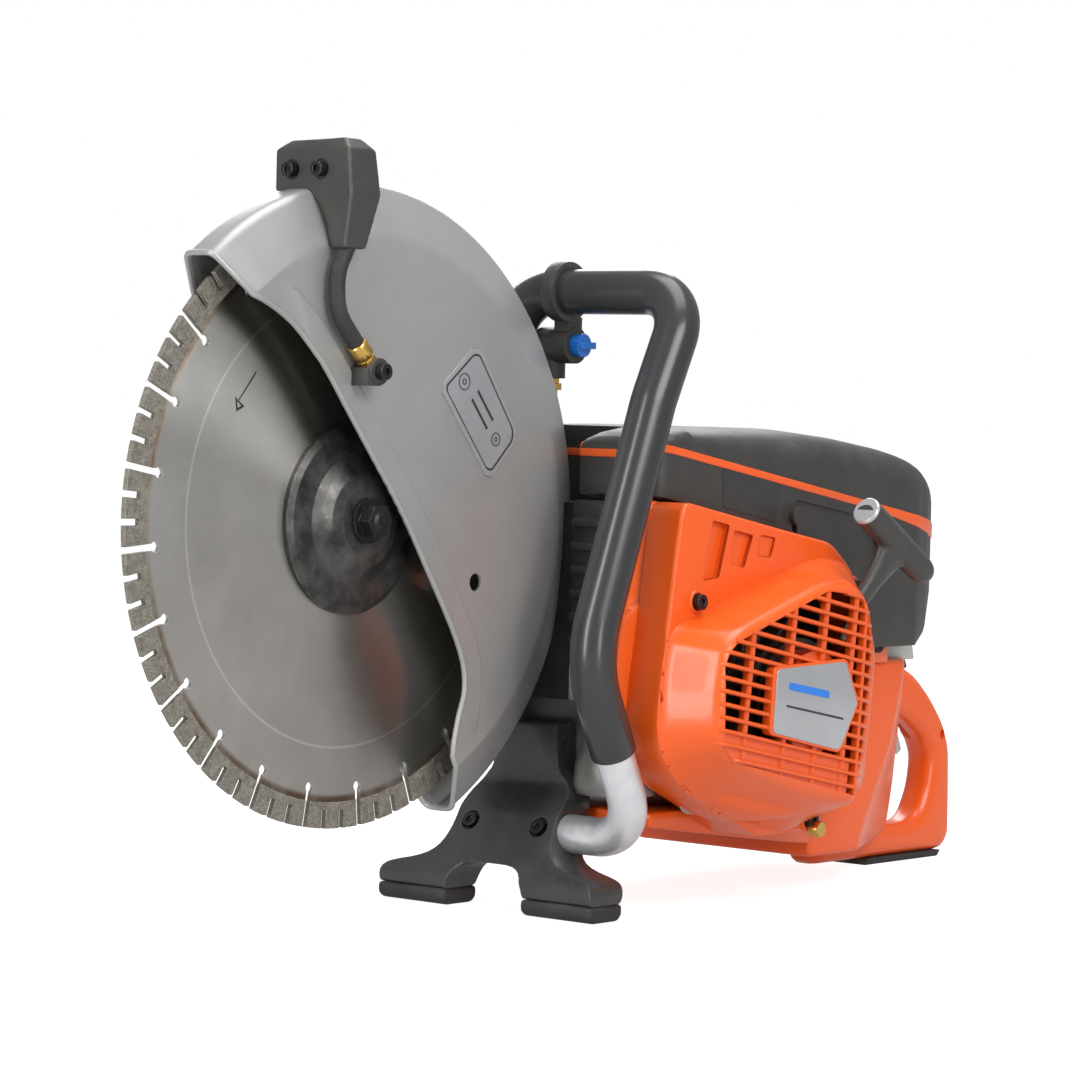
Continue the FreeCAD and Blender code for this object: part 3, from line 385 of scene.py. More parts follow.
def bladeMaterial(look):
    made, tree, surface = blankMaterial("bladeSteel")
    polar = groupNode(tree, discGroup)
    edge = groupNode(tree, edgeGroup, Radius=0.4 * mm, Patches=90, Amount=0.5)
    lines = noiseNode(tree, polar.outputs["Turned"], 1.0, 3.0, 0.7)
    cloud = noiseNode(tree, objectPoint(tree), 22.0, 6.0, 0.65)
    colour = mixColour(tree, rampNode(tree, cloud, 0.3, 0.75), look["core"], look["dark"])
    colour = mixColour(tree, rampNode(tree, lines, 0.45, 0.75, 0.0, 0.08), colour, look["dark"])
    ring = band(tree, polar.outputs["Radius"], look["ringRadius"], look["ringWidth"], 0.5)
    colour = mixColour(tree, mathNode(tree, "MULTIPLY", ring, 0.4), colour, (0.80, 0.79, 0.76))
    weld = band(tree, polar.outputs["Radius"], look["weldRadius"], look["weldWidth"], 2.6)
    patchy = mathNode(tree, "MULTIPLY", weld, rampNode(tree, cloud, 0.35, 0.6, 0.35, 0.9))
    colour = mixColour(tree, patchy, colour, look["weld"])
    tree.links.new(colour, surface.inputs["Base Color"])
    surface.inputs["Metallic"].default_value = 1.0
    rough = rampNode(tree, lines, 0.3, 0.7, 0.33, 0.37)
    rough = mathNode(tree, "ADD", rough, mathNode(tree, "MULTIPLY", patchy, 0.3), True)
    tree.links.new(rough, surface.inputs["Roughness"])
    surface.inputs["Anisotropic"].default_value = 0.9
    surface.inputs["Anisotropic Rotation"].default_value = 0.25
    tangent = tree.nodes.new("ShaderNodeTangent")
    tangent.direction_type = "RADIAL"
    tangent.axis = "Y"
    tree.links.new(tangent.outputs[0], surface.inputs["Tangent"])
    bump = tree.nodes.new("ShaderNodeBump")
    bump.inputs["Strength"].default_value = 0.05
    bump.inputs["Distance"].default_value = 0.03 * mm
    height = mathNode(tree, "ADD", lines, mathNode(tree, "MULTIPLY", ring, 4.0))
    tree.links.new(height, bump.inputs["Height"])
    tree.links.new(edge.outputs["Normal"], bump.inputs["Normal"])
    tree.links.new(bump.outputs["Normal"], surface.inputs["Normal"])
    return made


def segmentMaterial(look):
    made, tree, surface = blankMaterial("diamondGrit")
    point = objectPoint(tree)
    edge = groupNode(tree, edgeGroup, Radius=0.7 * mm, Patches=150, Amount=0.8)
    cells = tree.nodes.new("ShaderNodeTexVoronoi")
    cells.inputs["Scale"].default_value = 900
    tree.links.new(point, cells.inputs["Vector"])
    crumbs = noiseNode(tree, point, 260.0, 6.0, 0.7)
    grit = mathNode(tree, "MULTIPLY", crumbs, rampNode(tree, cells.outputs["Distance"], 0.0, 0.9, 1.2, 0.5))
    colour = mixColour(tree, rampNode(tree, grit, 0.25, 0.6), look["grit"], look["stone"])
    colour = mixColour(tree, edge.outputs["Wear"], colour, (0.62, 0.59, 0.52))
    tree.links.new(colour, surface.inputs["Base Color"])
    surface.inputs["Metallic"].default_value = 0.45
    tree.links.new(rampNode(tree, crumbs, 0.3, 0.7, 0.5, 0.75), surface.inputs["Roughness"])
    bump = tree.nodes.new("ShaderNodeBump")
    bump.inputs["Strength"].default_value = 0.8
    bump.inputs["Distance"].default_value = 0.4 * mm
    tree.links.new(grit, bump.inputs["Height"])
    tree.links.new(edge.outputs["Normal"], bump.inputs["Normal"])
    tree.links.new(bump.outputs["Normal"], surface.inputs["Normal"])
    return made


material["bladeSteel"] = bladeMaterial(bladeLook)
material["diamondGrit"] = segmentMaterial(bladeLook)
print("materials ready")

# finish of every node that keeps its own shape
nodeFinish = {
    "bladeSteel": ["blade_core"],
    "diamondGrit": ["blade_segments"],
    "wornSteel": ["outer_flange"],
    "blackSteel": ["inner_flange", "blade_bolt", "housing_screws", "guard_screws"],
    "brightSteel": ["spindle", "spindle_bearings", "clutch_drum", "crankshaft", "clutch_shoes",
                    "connecting_rod",
                    "crank_bearings", "recoil_spring", "vibration_springs"],
    "bareCasting": ["bearing_housing", "driven_pulley", "flywheel", "piston", "cylinder", "crankcase",
                    "carburettor"],
    "greyCasting": ["cutting_arm", "belt_guard", "front_foot"],
    "heatproofBlack": ["muffler", "muffler_shield", "ignition_coil"],
    "rubber": ["drive_belt", "foot_pads", "rear_feet", "water_hose", "spark_plug"],
    "darkPlastic": ["top_cover", "cover_latch", "decompression_valve", "starter_pulley", "fuel_cap",
                    "throttle_lockout",
                    "choke_lever", "water_valve", "spray_nozzle"],
    "gripPlastic": ["guard_handle", "starter_grip"],
    "greyPlastic": ["throttle_trigger"],
    "orangeShell": ["starter_cover", "tank_handle"],
    "handleCoat": ["handle_coating"],
    "bareTube": ["front_handle"],
    "guardPaint": ["blade_guard"],
    "plateMetal": ["starter_plate", "guard_plate", "grip_cap"],
    "brass": ["hose_fitting", "water_connector"],
    "bluePlastic": ["water_knob"],
    "redPlastic": ["stop_switch"],
    "filterPaper": ["air_filter"],
    "ropeCord": ["starter_rope"],
}
for finish, names in nodeFinish.items():
    for name in names:
        part = nodes[name]
        part.data.materials.clear()
        part.data.materials.append(material[finish])


# mesh helpers; outlines are lists of (x, z) in mm
def piece(name, mesh, finish, body, replaces=(), smooth=35):
    made = bpy.data.objects.new(name, mesh)
    bpy.context.scene.collection.objects.link(made)
    for one in [finish] if isinstance(finish, str) else finish:
        mesh.materials.append(material[one])
    if smooth:
        mesh.shade_smooth()
        mesh.set_sharp_from_angle(angle=radians(smooth))
    if body:
        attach(made, body)
    if replaces:
        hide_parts(*replaces)
    return made


def meshFrom(name, points, faces):
    mesh = bpy.data.meshes.new(name)
    mesh.from_pydata([tuple(p) for p in points], [], faces)
    mesh.validate()
    mesh.update()
    return mesh


def facedOut(mesh, merge=0.0):
    work = bmesh.new()
    work.from_mesh(mesh)
    if merge:
        bmesh.ops.remove_doubles(work, verts=work.verts, dist=merge * mm)
    bmesh.ops.recalc_face_normals(work, faces=work.faces)
    work.to_mesh(mesh)
    work.free()
    return mesh


def settled(made):
    # the mesh with its modifiers applied; the helper object goes
    evaluated = made.evaluated_get(bpy.context.evaluated_depsgraph_get())
    mesh = bpy.data.meshes.new_from_object(evaluated)
    bpy.data.objects.remove(made)
    return mesh


def scratch(mesh):
    made = bpy.data.objects.new("scratch", mesh)
    bpy.context.scene.collection.objects.link(made)
    return made


def combined(mesh, tools, operation="DIFFERENCE"):
    base = scratch(mesh)
    helpers = [scratch(tool) for tool in tools]
    for helper in helpers:
        modifier = base.modifiers.new("cut", "BOOLEAN")
        modifier.object = helper
        modifier.operation = operation
        modifier.solver = "EXACT"
    result = settled(base)
    for helper in helpers:
        bpy.data.objects.remove(helper)
    return result


def bevelled(mesh, width, segments=3, angle=30):
    base = scratch(mesh)
    modifier = base.modifiers.new("soft", "BEVEL")
    modifier.width = width * mm
    modifier.segments = segments
    modifier.limit_method = "ANGLE"
    modifier.angle_limit = radians(angle)
    modifier.use_clamp_overlap = True
    return settled(base)


def cleaned(mesh, flat=1.0, near=0.02):
    work = bmesh.new()
    work.from_mesh(mesh)
    bmesh.ops.remove_doubles(work, verts=work.verts, dist=near * mm)
    bmesh.ops.dissolve_limit(work, angle_limit=radians(flat), verts=work.verts, edges=work.edges)
    bmesh.ops.recalc_face_normals(work, faces=work.faces)
    result = bpy.data.meshes.new("cleaned")
    work.to_mesh(result)
    work.free()
    return result


def joined(meshes):
    work = bmesh.new()
    for mesh in meshes:
        work.from_mesh(mesh)
    result = bpy.data.meshes.new("joined")
    work.to_mesh(result)
    work.free()
    return result


def cornerArc(before, corner, after, radius, count):
    a, c, b = Vector(before), Vector(corner), Vector(after)
    into, out = a - c, b - c
    reach = min(radius, into.length * 0.45, out.length * 0.45)
    into.normalize()
    out.normalize()
    arc = []
    for k in range(count + 1):
        t = k / count
        p = (c + into * reach) * (1 - t) ** 2 + c * 2 * t * (1 - t) + (c + out * reach) * t ** 2
        arc.append((p.x, p.y))
    return arc


def roundedOutline(outline, radius, count=5):
    closed = [outline[-1]] + list(outline) + [outline[0]]
    made = []
    for before, corner, after in zip(closed, closed[1:], closed[2:]):
        made += cornerArc(before, corner, after, radius, count)
    return made


def roundedProfile(points, radii, count=6):
    made = [points[0]]
    for before, corner, after, radius in zip(points, points[1:], points[2:], radii):
        made += cornerArc(before, corner, after, radius, count)
    return made + [points[-1]]


def smoothLine(points, rounds=2):
    for _ in range(rounds):
        cutLine = [points[0]]
        for a, b in zip(points, points[1:]):
            cutLine.append((a[0] * 0.75 + b[0] * 0.25, a[1] * 0.75 + b[1] * 0.25))
            cutLine.append((a[0] * 0.25 + b[0] * 0.75, a[1] * 0.25 + b[1] * 0.75))
        cutLine.append(points[-1])
        points = cutLine
    return points


def prism(outline, low, high, axis="y"):
    place = {"y": lambda a, b, t: at(a, t, b), "x": lambda a, b, t: at(t, a, b)}[axis]
    count = len(outline)
    points = [place(a, b, t) for t in (low, high) for a, b in outline]
    faces = [list(range(count)), list(range(2 * count - 1, count - 1, -1))]
    faces += [[i, i + count, (i + 1) % count + count, (i + 1) % count] for i in range(count)]
    return facedOut(meshFrom("prism", points, faces))


def lofted(rings, closed=True, caps=(False, False), merge=0.0):
    count = len(rings[0])
    points = [p for ring in rings for p in ring]
    around = count if closed else count - 1
    faces = []
    for k in range(len(rings) - 1):
        for i in range(around):
            j = (i + 1) % count
            faces.append([k * count + i, k * count + j, (k + 1) * count + j, (k + 1) * count + i])
    if caps[0]:
        faces.append(list(range(count - 1, -1, -1)))
    if caps[1]:
        faces.append([(len(rings) - 1) * count + i for i in range(count)])
    return facedOut(meshFrom("loft", points, faces), merge)


def roundRoute(points, bends, step=6):
    corners = [Vector(p) for p in points]
    path = [corners[0]]
    for before, corner, after, bend in zip(corners, corners[1:], corners[2:], bends):
        back = (before - corner).normalized()
        ahead = (after - corner).normalized()
        half = (math.pi - back.angle(ahead)) / 2
        reach = bend * math.tan(half)
        middle = corner + (back + ahead).normalized() * (bend / cos(half))
        start = corner + back * reach - middle
        count = max(4, int(math.degrees(2 * half) / step))
        axis = start.cross(corner + ahead * reach - middle).normalized()
        path += [middle + Matrix.Rotation(2 * half * k / count, 3, axis) @ start for k in range(count + 1)]
    path.append(corners[-1])
    return path


def sweep(path, section, up=Vector((0, 0, 1)), caps=True):
    rings = []
    side = None
    for k, point in enumerate(path):
        tangent = (path[min(k + 1, len(path) - 1)] - path[max(k - 1, 0)]).normalized()
        if side is None:
            guide = up if abs(tangent.dot(up)) < 0.95 else Vector((0, 1, 0))
            side = tangent.cross(guide).normalized()
        else:
            side = (side - tangent * side.dot(tangent)).normalized()
        lift = side.cross(tangent)
        rings.append([at(*(point + side * a + lift * b)) for a, b in section(k / (len(path) - 1))])
    return lofted(rings, True, (caps, caps))


def circle(radius, count=32):
    return [(radius * cos(2 * math.pi * i / count),
             radius * sin(2 * math.pi * i / count)) for i in range(count)]


def tube(path, radius, count=32, caps=True):
    return sweep([Vector(p) for p in path], lambda t: circle(radius, count), caps=caps)


def softened(name, node, finish, width, segments=3, angle=28, flat=1.0):
    body = nodes[node]["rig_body"]
    mesh = bevelled(cleaned(nodes[node].data, flat), width, segments, angle)
    mesh.materials.clear()
    return piece(name, mesh, finish, body, (node,), smooth=32)


def turnedMesh(profile, centre, count=64, start=0.0, sweepAngle=360.0):
    rings = []
    steps = int(count * sweepAngle / 360)
    for k in range(steps + (0 if sweepAngle == 360 else 1)):
        a = radians(start + sweepAngle * k / steps)
        rings.append([at(centre[0] + r * cos(a), y, centre[1] + r * sin(a)) for r, y in profile])
    if sweepAngle == 360:
        rings.append(rings[0])
    return lofted(rings, True, (False, False), merge=0.001)


# blade arrow
arrow = {"line": [(-77, 82), (-90, 66.5)], "head": [(-93.2, 68.2), (-92, 60), (-85.6, 62.8)], "width": 0.55,
         "inner": 0.45,
         "low": -1.27, "high": -1.1}


def makeArrow(a):
    start, end = (Vector(p) for p in a["line"])
    side = Vector((-(end - start).y, (end - start).x)).normalized() * a["width"]
    shaft = [start + side, end + side * 0.8, end - side * 0.8, start - side]
    tip = [Vector(p) for p in a["head"]]
    middle = (tip[0] + tip[1] + tip[2]) / 3
    inner = [middle + (p - middle) * a["inner"] for p in tip]
    parts = [prism([tuple(p) for p in shaft], a["low"], a["high"])]
    for k in range(3):
        j = (k + 1) % 3
        parts.append(prism([tuple(p) for p in (tip[k], tip[j], inner[j], inner[k])], a["low"], a["high"]))
    piece("blade_arrow", joined(parts), "printInk", "blade", smooth=0)


makeArrow(arrow)

# blade guard: angles in degrees round the arbor, free edge as (x, z)
guard = {
    "front": 130.0, "tail": -63.0, "steps": 150,
    "rim": 190.0, "shoulder": 160.0, "leftY": -24.0, "rightY": 22.0, "band": 10.0, "hub": 38.6,
    "wall": 2.0, "bead": 1.7, "rimRound": 5.0, "shoulderRound": 4.0,
    "edge": [(-112, 126), (-98, 122), (-84, 116), (-70, 108), (-58, 97), (-43, 81), (-27, 61), (-8, 38),
             (12, 14), (29, -9), (44, -31), (60, -54), (72, -74), (77, -88), (77, -103), (71, -124), (69, -138),
             (72, -150)],
    "edgeStrip": 15, "edgeProud": 1.5,
    "hole": (86, -36, 5.2),
    "rivet": (112, 49),
}


def makeGuard(g):
    line = smoothLine(g["edge"])
    angles = [(math.degrees(math.atan2(z, x)), math.hypot(x, z)) for x, z in line]

    def shifted(amount):
        made = []
        for (xa, za), (xb, zb) in zip(line, line[1:]):
            run = Vector((xb - xa, zb - za)).normalized()
            x, z = (xa + xb) / 2 - run.y * amount, (za + zb) / 2 + run.x * amount
            made.append((math.degrees(math.atan2(z, x)), math.hypot(x, z)))
        return made

    def reachOn(table, angle):
        for (a0, r0), (a1, r1) in zip(table, table[1:]):
            if a1 <= angle <= a0:
                return r0 + (r1 - r0) * (a0 - angle) / max(a0 - a1, 1e-6)
        return table[0][1] if angle > table[0][0] else table[-1][1]

    creaseStart, creaseEnd = shifted(g["edgeStrip"]), shifted(g["edgeStrip"] + 2)
    rings = []
    span = g["front"] - g["tail"]
    for k in range(g["steps"] + 1):
        angle = g["front"] - span * k / g["steps"]
        inner = max(reachOn(angles, angle), g["hub"] * 0.4)
        a = radians(angle)
        last = g["shoulder"] - 6
        bend, flat = (min(max(reachOn(table, angle), inner + 0.5), last) for table in (creaseStart, creaseEnd))
        flat = max(flat, bend + 0.3)
        proud = g["leftY"] - g["edgeProud"] * min(1, max(0, (last - bend) / 8))
        left = [(inner, proud), (bend, proud), (flat, g["leftY"])]
        left += [(flat + (g["shoulder"] - flat) * t, g["leftY"]) for t in (0.3, 0.6, 0.8)]
        if inner > g["shoulder"] - 6:  # the free edge climbs the cone at the two ends
            rise = (inner - g["shoulder"]) / (g["rim"] - g["shoulder"])
            y0 = g["leftY"] + max(rise, 0) * (g["leftY"] * -1 - g["band"])
            left = [(inner, y0)]
        corner = roundedProfile(
            [left[-1], (g["shoulder"], g["leftY"]), (g["rim"], -g["band"]), (g["rim"], g["band"]),
             (g["shoulder"], g["rightY"]), (g["hub"] + 14, g["rightY"])],
            [g["shoulderRound"], g["rimRound"], g["rimRound"], g["shoulderRound"]])
        if inner > g["shoulder"] - 6:
            corner = [(max(r, inner), y) if y < 0 else (r, y) for r, y in corner]
        profile = left[:-1] + corner
        while len(profile) < 5 + 30:
            profile.insert(0, profile[0])
        profile += [(g["hub"] + 10, g["rightY"]), (g["hub"], g["rightY"])]
        rings.append([at(r * cos(a), y, r * sin(a)) for r, y in profile])
    mesh = lofted(rings, False)
    work = bmesh.new()
    work.from_mesh(mesh)
    bmesh.ops.dissolve_degenerate(work, dist=0.01 * mm, edges=work.edges)
    bmesh.ops.remove_doubles(work, verts=work.verts, dist=0.01 * mm)
    bmesh.ops.recalc_face_normals(work, faces=work.faces)
    outward = max(work.faces, key=lambda f: f.calc_center_median().z)
    if outward.normal.z < 0:
        bmesh.ops.reverse_faces(work, faces=work.faces)
    work.to_mesh(mesh)
    work.free()
    shell = scratch(mesh)
    for one in ("guardPaint", "guardInside"):
        mesh.materials.append(material[one])
    solid = shell.modifiers.new("wall", "SOLIDIFY")
    solid.thickness = g["wall"] * mm
    solid.offset = -1
    solid.material_offset = 1
    solid.material_offset_rim = 0
    mesh = settled(shell)
    x, z, radius = g["hole"]
    mesh = combined(mesh, [lofted([[at(x + a, y, z + b) for a, b in circle(radius, 40)] for y in (-40, -10)],
                                  True, (True, True))])
    mesh.materials.clear()
    piece("guard_shell", mesh, ("guardPaint", "guardInside"), "guard", ("blade_guard",), smooth=30)
    # rolled bead round the open edge: tail, free edge, front lip, far side
    freeEdge = [ring[0] for ring in rings]
    lip = list(rings[0])
    tail = list(rings[-1])
    route = list(reversed(tail))[:-1] + list(reversed(freeEdge))[:-1] + lip
    path = []
    for p in route:
        local = (p - arbor) * 1000
        if not path or (local - path[-1]).length > 0.8:
            path.append(local)
    piece("guard_bead", tube(path, g["bead"], 12), "guardPaint", "guard", smooth=60)
    hub = turnedMesh([(g["hub"], 20), (g["hub"] + 12, 20), (g["hub"] + 12, 22.4), (g["hub"] + 11, 23),
                      (g["hub"], 23)],
                     (0, 0), 96)
    piece("guard_hub_ring", hub, "guardPaint", "guard")
    x, z = g["rivet"]
    rivet = turnedMesh([(0.01, -24.9), (1.8, -24.8), (2.7, -24.4), (3.0, -23.8), (0.01, -23.8)], (x, z), 24)
    piece("guard_rivet", rivet, "guardPaint", "guard")


makeGuard(guard)
label = {
    "border": [(79, 96.5), (55.5, 78), (55, 75), (92.5, 29.5), (97, 28.5), (115.5, 46.5), (115.5, 53),
               (84, 96)],
    "discs": [(71, 80, 5.0), (100, 47, 4.0)], "bars": [((78, 70), (92, 53), 0.8), ((83, 75), (97, 58), 0.8)],
    "middle": (85, 62), "inner": 0.965, "low": -25.05, "high": -24.9, "line": 0.6,
}


def makeLabel(g):
    rim = roundedOutline(g["border"], 3)
    middle = Vector(g["middle"])
    inner = [tuple(middle + (Vector(p) - middle) * g["inner"]) for p in rim]
    low, high = g["low"], g["high"]
    loops = ((rim, high), (rim, low), (inner, low), (inner, high))
    parts = [lofted([[at(x, y, z) for x, z in ring] for ring, y in loops], True)]
    low += 0.05
    for x, z, radius in g["discs"]:
        for size in (radius, radius * 0.35):
            ring = [(size, high), (size, low), (size - g["line"], low), (size - g["line"], high)]
            parts.append(turnedMesh(ring, (x, z), 40))
    for a, b, width in g["bars"]:
        a, b = Vector(a), Vector(b)
        side = Vector((-(b - a).y, (b - a).x)).normalized() * width
        parts.append(prism([tuple(p) for p in (a + side, b + side, b - side, a - side)], low, high))
    piece("guard_label_print", joined(parts), "printInk", "guard", smooth=30)


makeLabel(label)
print("guard ready")

# front handle
handle = {
    "route": [(184, 36, -24), (184, 36, 136), (190, -95, 136), (158, -95, 71), (103, -95, -78),
              (158, -93, -186), (160, -38.5, -186)],
    "bends": [34, 30, 60, 60, 34],
    "coatStart": (184, 36, 20), "coatEnd": (131, -94, -133),
    "tube": 11.5, "coat": 13.5,
}


def makeHandle(h):
    path = roundRoute(h["route"], h["bends"], 4)
    piece("front_handle_tube", tube(path, h["tube"], 40), "bareTube", "machine", ("front_handle",), smooth=40)
    route = [h["coatStart"]] + h["route"][1:5] + [h["coatEnd"]]
    path = roundRoute(route, h["bends"][:4], 4)
    start = path[0] + (path[1] - path[0]).normalized() * 1.2
    end = path[-1] + (path[-2] - path[-1]).normalized() * 1.2
    path = [path[0], start] + path[1:-1] + [end, path[-1]]
    last = len(path) - 1

    def section(t):
        k = round(t * last)
        return circle(h["coat"] - (1.0 if k in (0, last) else 0.0), 48)

    piece("handle_coat", sweep(path, section), "handleCoat", "machine", ("handle_coating",), smooth=50)


makeHandle(handle)

# starter cover
starter = {
    "centre": (245, -100), "baseY": -78, "stepY": -87, "flangeY": -112, "faceY": -150,
    "wall": 2.4, "samples": 320, "edgeRound": 2.6, "faceRound": 7.0,
    # outlines: rim of the flange, the same rim further back, foot of the dome and its face
    "flange": [(168.5, 14), (163, -14), (158.8, -41), (157, -52), (154.2, -70), (151, -87), (148.6, -107),
               (148.5, -120),
               (153, -134), (166, -148), (184, -160), (205, -168), (250, -188), (292, -187), (330, -172),
               (358, -166), (368, -82), (357, -53), (333, -23), (318, -12), (276, -5)],
    "back": [(168, 14), (163.5, -22), (160.5, -46), (148, -54), (144.5, -64), (141.8, -80), (141.5, -96),
             (145, -110),
             (152, -124), (164, -142), (182, -156), (205, -166), (250, -188), (292, -187), (330, -172),
             (358, -166), (368, -82), (357, -53), (333, -23), (318, -12), (276, -5)],
    "foot": [(144, -122), (146, -96), (150, -80), (155, -68), (163, -59), (171, -57), (298, -21), (333, -24),
             (357, -53),
             (368, -84), (358, -166), (330, -172), (275, -188), (205, -168), (178, -158), (155, -145)],
    "face": [(160, -88), (164, -71), (176, -60), (262, -33), (292, -35), (306, -50), (311, -76), (301, -152),
             (297, -168), (250, -158), (185, -140), (160, -124)],
    "grille": [(163, -80), (167, -72), (174, -66), (262, -38.5), (296, -42), (309, -52), (322, -76),
               (309, -160), (297, -163), (175, -136), (163.5, -124)],
    "slope": -0.193, "slatPitch": 7.65, "slatTop": -36.5, "slatRows": 17, "slatHigh": 2.4, "slatDeep": 4.5,
    "ribs": [187, 226, 258, 288], "ribHigh": 4.0, "lean": 0.12,
    "plate": [(209.5, -84.6), (212, -83), (276, -81), (279, -82), (291.5, -106.5), (275.5, -132), (272, -133.5),
              (208.5, -120.5), (206.8, -118)],
    "vents": [([(196, 2.5), (213, -0.5), (203.5, -31.5), (188, -33)], 4.4),
              ([(217, -3.5), (236.5, -6.7), (228.5, -26), (214.5, -24)], 3.0),
              ([(243.5, -6.5), (259, -8.5), (254.5, -20.5), (241, -19)], 1.6)],
    "screws": [(182, -45), (200, -158), (300, -181), (340, -40)],
    "closed": [(163, -116), (209, -125), (274, -138), (291, -141), (288, -163), (250, -153), (176, -137),
               (163.5, -125)],
    "sideRibs": [((303, -46), (294.5, -162), 2.6, 5.0, -0.2), ((320, -70), (308, -161), 3.0, 4.0, -0.5)],
    "badgeLine": [(219, -104.2), (277, -114.6), (277, -115.9), (219, -105.5)],
    "badgeMark": [(221, -91), (262, -98), (262, -102.5), (221, -95.5)],
    "springCup": [(31, -146), (31, -128), (28.5, -128), (28.5, -144), (8, -144), (8, -146)],
    "scoopFrom": (186, -156), "scoopRun": (93, -17), "scoopDrop": 15, "scoopBack": -90, "scoopSteps": 24,
    "mount": [(0.01, -102), (9.5, -102), (11, -100), (11, -80), (0.01, -80)], "mountAt": (222, -164),
    "paleScrew": [(0.01, -121), (4.4, -121), (5, -120), (5, -114), (0.01, -114)], "paleScrewAt": (302, -186),
}


def polarRadius(outline, centre):
    corners = [(x - centre[0], z - centre[1]) for x, z in outline]

    def reach(angle):
        dx, dz = cos(angle), sin(angle)
        best = 0.0
        for (x0, z0), (x1, z1) in zip(corners, corners[1:] + corners[:1]):
            ex, ez = x1 - x0, z1 - z0
            det = dx * -ez + dz * ex
            if abs(det) < 1e-9:
                continue
            t = (x0 * -ez + z0 * ex) / det
            u = (dx * z0 - dz * x0) / det
            if t > best and -1e-6 <= u <= 1 + 1e-6:
                best = t
        return best

    return reach


class StarterSurface:
    def __init__(self, s):
        self.s = s
        c = s["centre"]
        self.flange = polarRadius(roundedOutline(s["flange"], 8), c)
        self.back = polarRadius(roundedOutline(s["back"], 5), c)
        self.foot = polarRadius(roundedOutline(s["foot"], 14), c)
        self.face = polarRadius(roundedOutline(s["face"], 12), c)
        self.grille = polarRadius(roundedOutline(s["grille"], 4), c)

    def radii(self, angle):
        edge = self.flange(angle)
        foot = self.foot(angle)
        turn = max(0.6, min(self.s["edgeRound"], (edge - foot) * 0.6))
        foot = min(foot, edge - turn - 0.1)
        face = min(self.face(angle), foot - 1.0)
        return edge, foot, face, turn

    def depth(self, x, z):
        c = self.s["centre"]
        angle = math.atan2(z - c[1], x - c[0])
        r = math.hypot(x - c[0], z - c[1])
        foot, face = self.radii(angle)[1:3]
        if r <= face:
            y = self.s["faceY"]
            soft = self.s["faceRound"]
            if r > face - soft:
                y += ((r - face + soft) / soft) ** 2 * soft * 0.18
            return y
        t = min((r - face) / max(foot - face, 0.5), 1.0)
        return self.s["faceY"] + 1.4 + (self.s["flangeY"] - self.s["faceY"] - 1.4) * t

    def profile(self, angle):
        s = self.s
        edge, foot, face, e = self.radii(angle)
        back = self.back(angle)
        grille = self.grille(angle)
        flangeY, faceY = s["flangeY"], s["faceY"]
        step = s["stepY"]
        points = [(back, s["baseY"]), (back, step + 1), (back + (edge - back) * 0.3, step),
                  (edge - 0.4, step - 0.6), (edge, step - 4), (edge, flangeY + e)]
        for k in range(1, 5):
            a = radians(90 * k / 4)
            points.append((edge - e * (1 - cos(a)), flangeY + e - e * sin(a)))
        gap = edge - e - foot
        points += [(edge - e - gap * 0.5, flangeY), (foot + 0.25, flangeY), (foot, flangeY - 0.3)]
        wall = Vector((foot, flangeY)), Vector((face, faceY))
        run = wall[1] - wall[0]
        soft = min(s["faceRound"], run.length * 0.4)
        turnStart = wall[1] - run.normalized() * soft
        turnEnd = Vector((face - soft, faceY))
        for t in (0.2, 0.4, 0.6, 0.8, 1.0):
            p = wall[0] + (turnStart - wall[0]) * t
            points.append((p.x, p.y))
        for k in range(1, 8):
            t = k / 7
            p = turnStart * (1 - t) ** 2 + wall[1] * 2 * t * (1 - t) + turnEnd * t ** 2
            points.append((p.x, p.y))
        points.append((grille, faceY) if grille < face - soft else points[-1])
        # stop where the grille opening begins
        made = []
        for r, y in points:
            if made and r < grille - 1e-6:
                r0, y0 = made[-1]
                if r0 > grille:
                    t = (r0 - grille) / max(r0 - r, 1e-6)
                    made.append((grille, y0 + (y - y0) * t))
                else:
                    made.append(made[-1])
            else:
                made.append((r, y))
        return made


def sweepOn(surface, start, end, high, deep, sink=0.0, step=2.5):
    a, b = Vector(start), Vector(end)
    count = max(2, int((b - a).length / step))
    flat = [a + (b - a) * k / count for k in range(count + 1)]
    path = [Vector((p.x, surface.depth(p.x, p.y) + sink, p.y)) for p in flat]
    across = Vector((-(b - a).y, 0, (b - a).x)).normalized()
    rings = []
    for k, p in enumerate(path):
        tangent = (path[min(k + 1, count)] - path[max(k - 1, 0)]).normalized()
        inward = tangent.cross(across).normalized()
        if inward.y < 0:
            inward = -inward
        h = high / 2
        ring = [p + across * h * 0.55, p + across * h + inward * h * 0.6, p + across * h + inward * deep,
                p - across * h + inward * deep, p - across * h + inward * h * 0.6, p - across * h * 0.55]
        rings.append([at(*q) for q in ring])
    return lofted(rings, True, (True, True))


def crossings(reachAt, centre, point, direction):
    found = []
    last = None
    steps = 900
    for k in range(-steps, steps + 1):
        p = Vector(point) + Vector(direction) * (k * 0.25)
        offset = p - Vector(centre)
        inside = offset.length <= reachAt(math.atan2(offset.y, offset.x))
        if last is not None and inside != last:
            found.append(p)
        last = inside
    return found


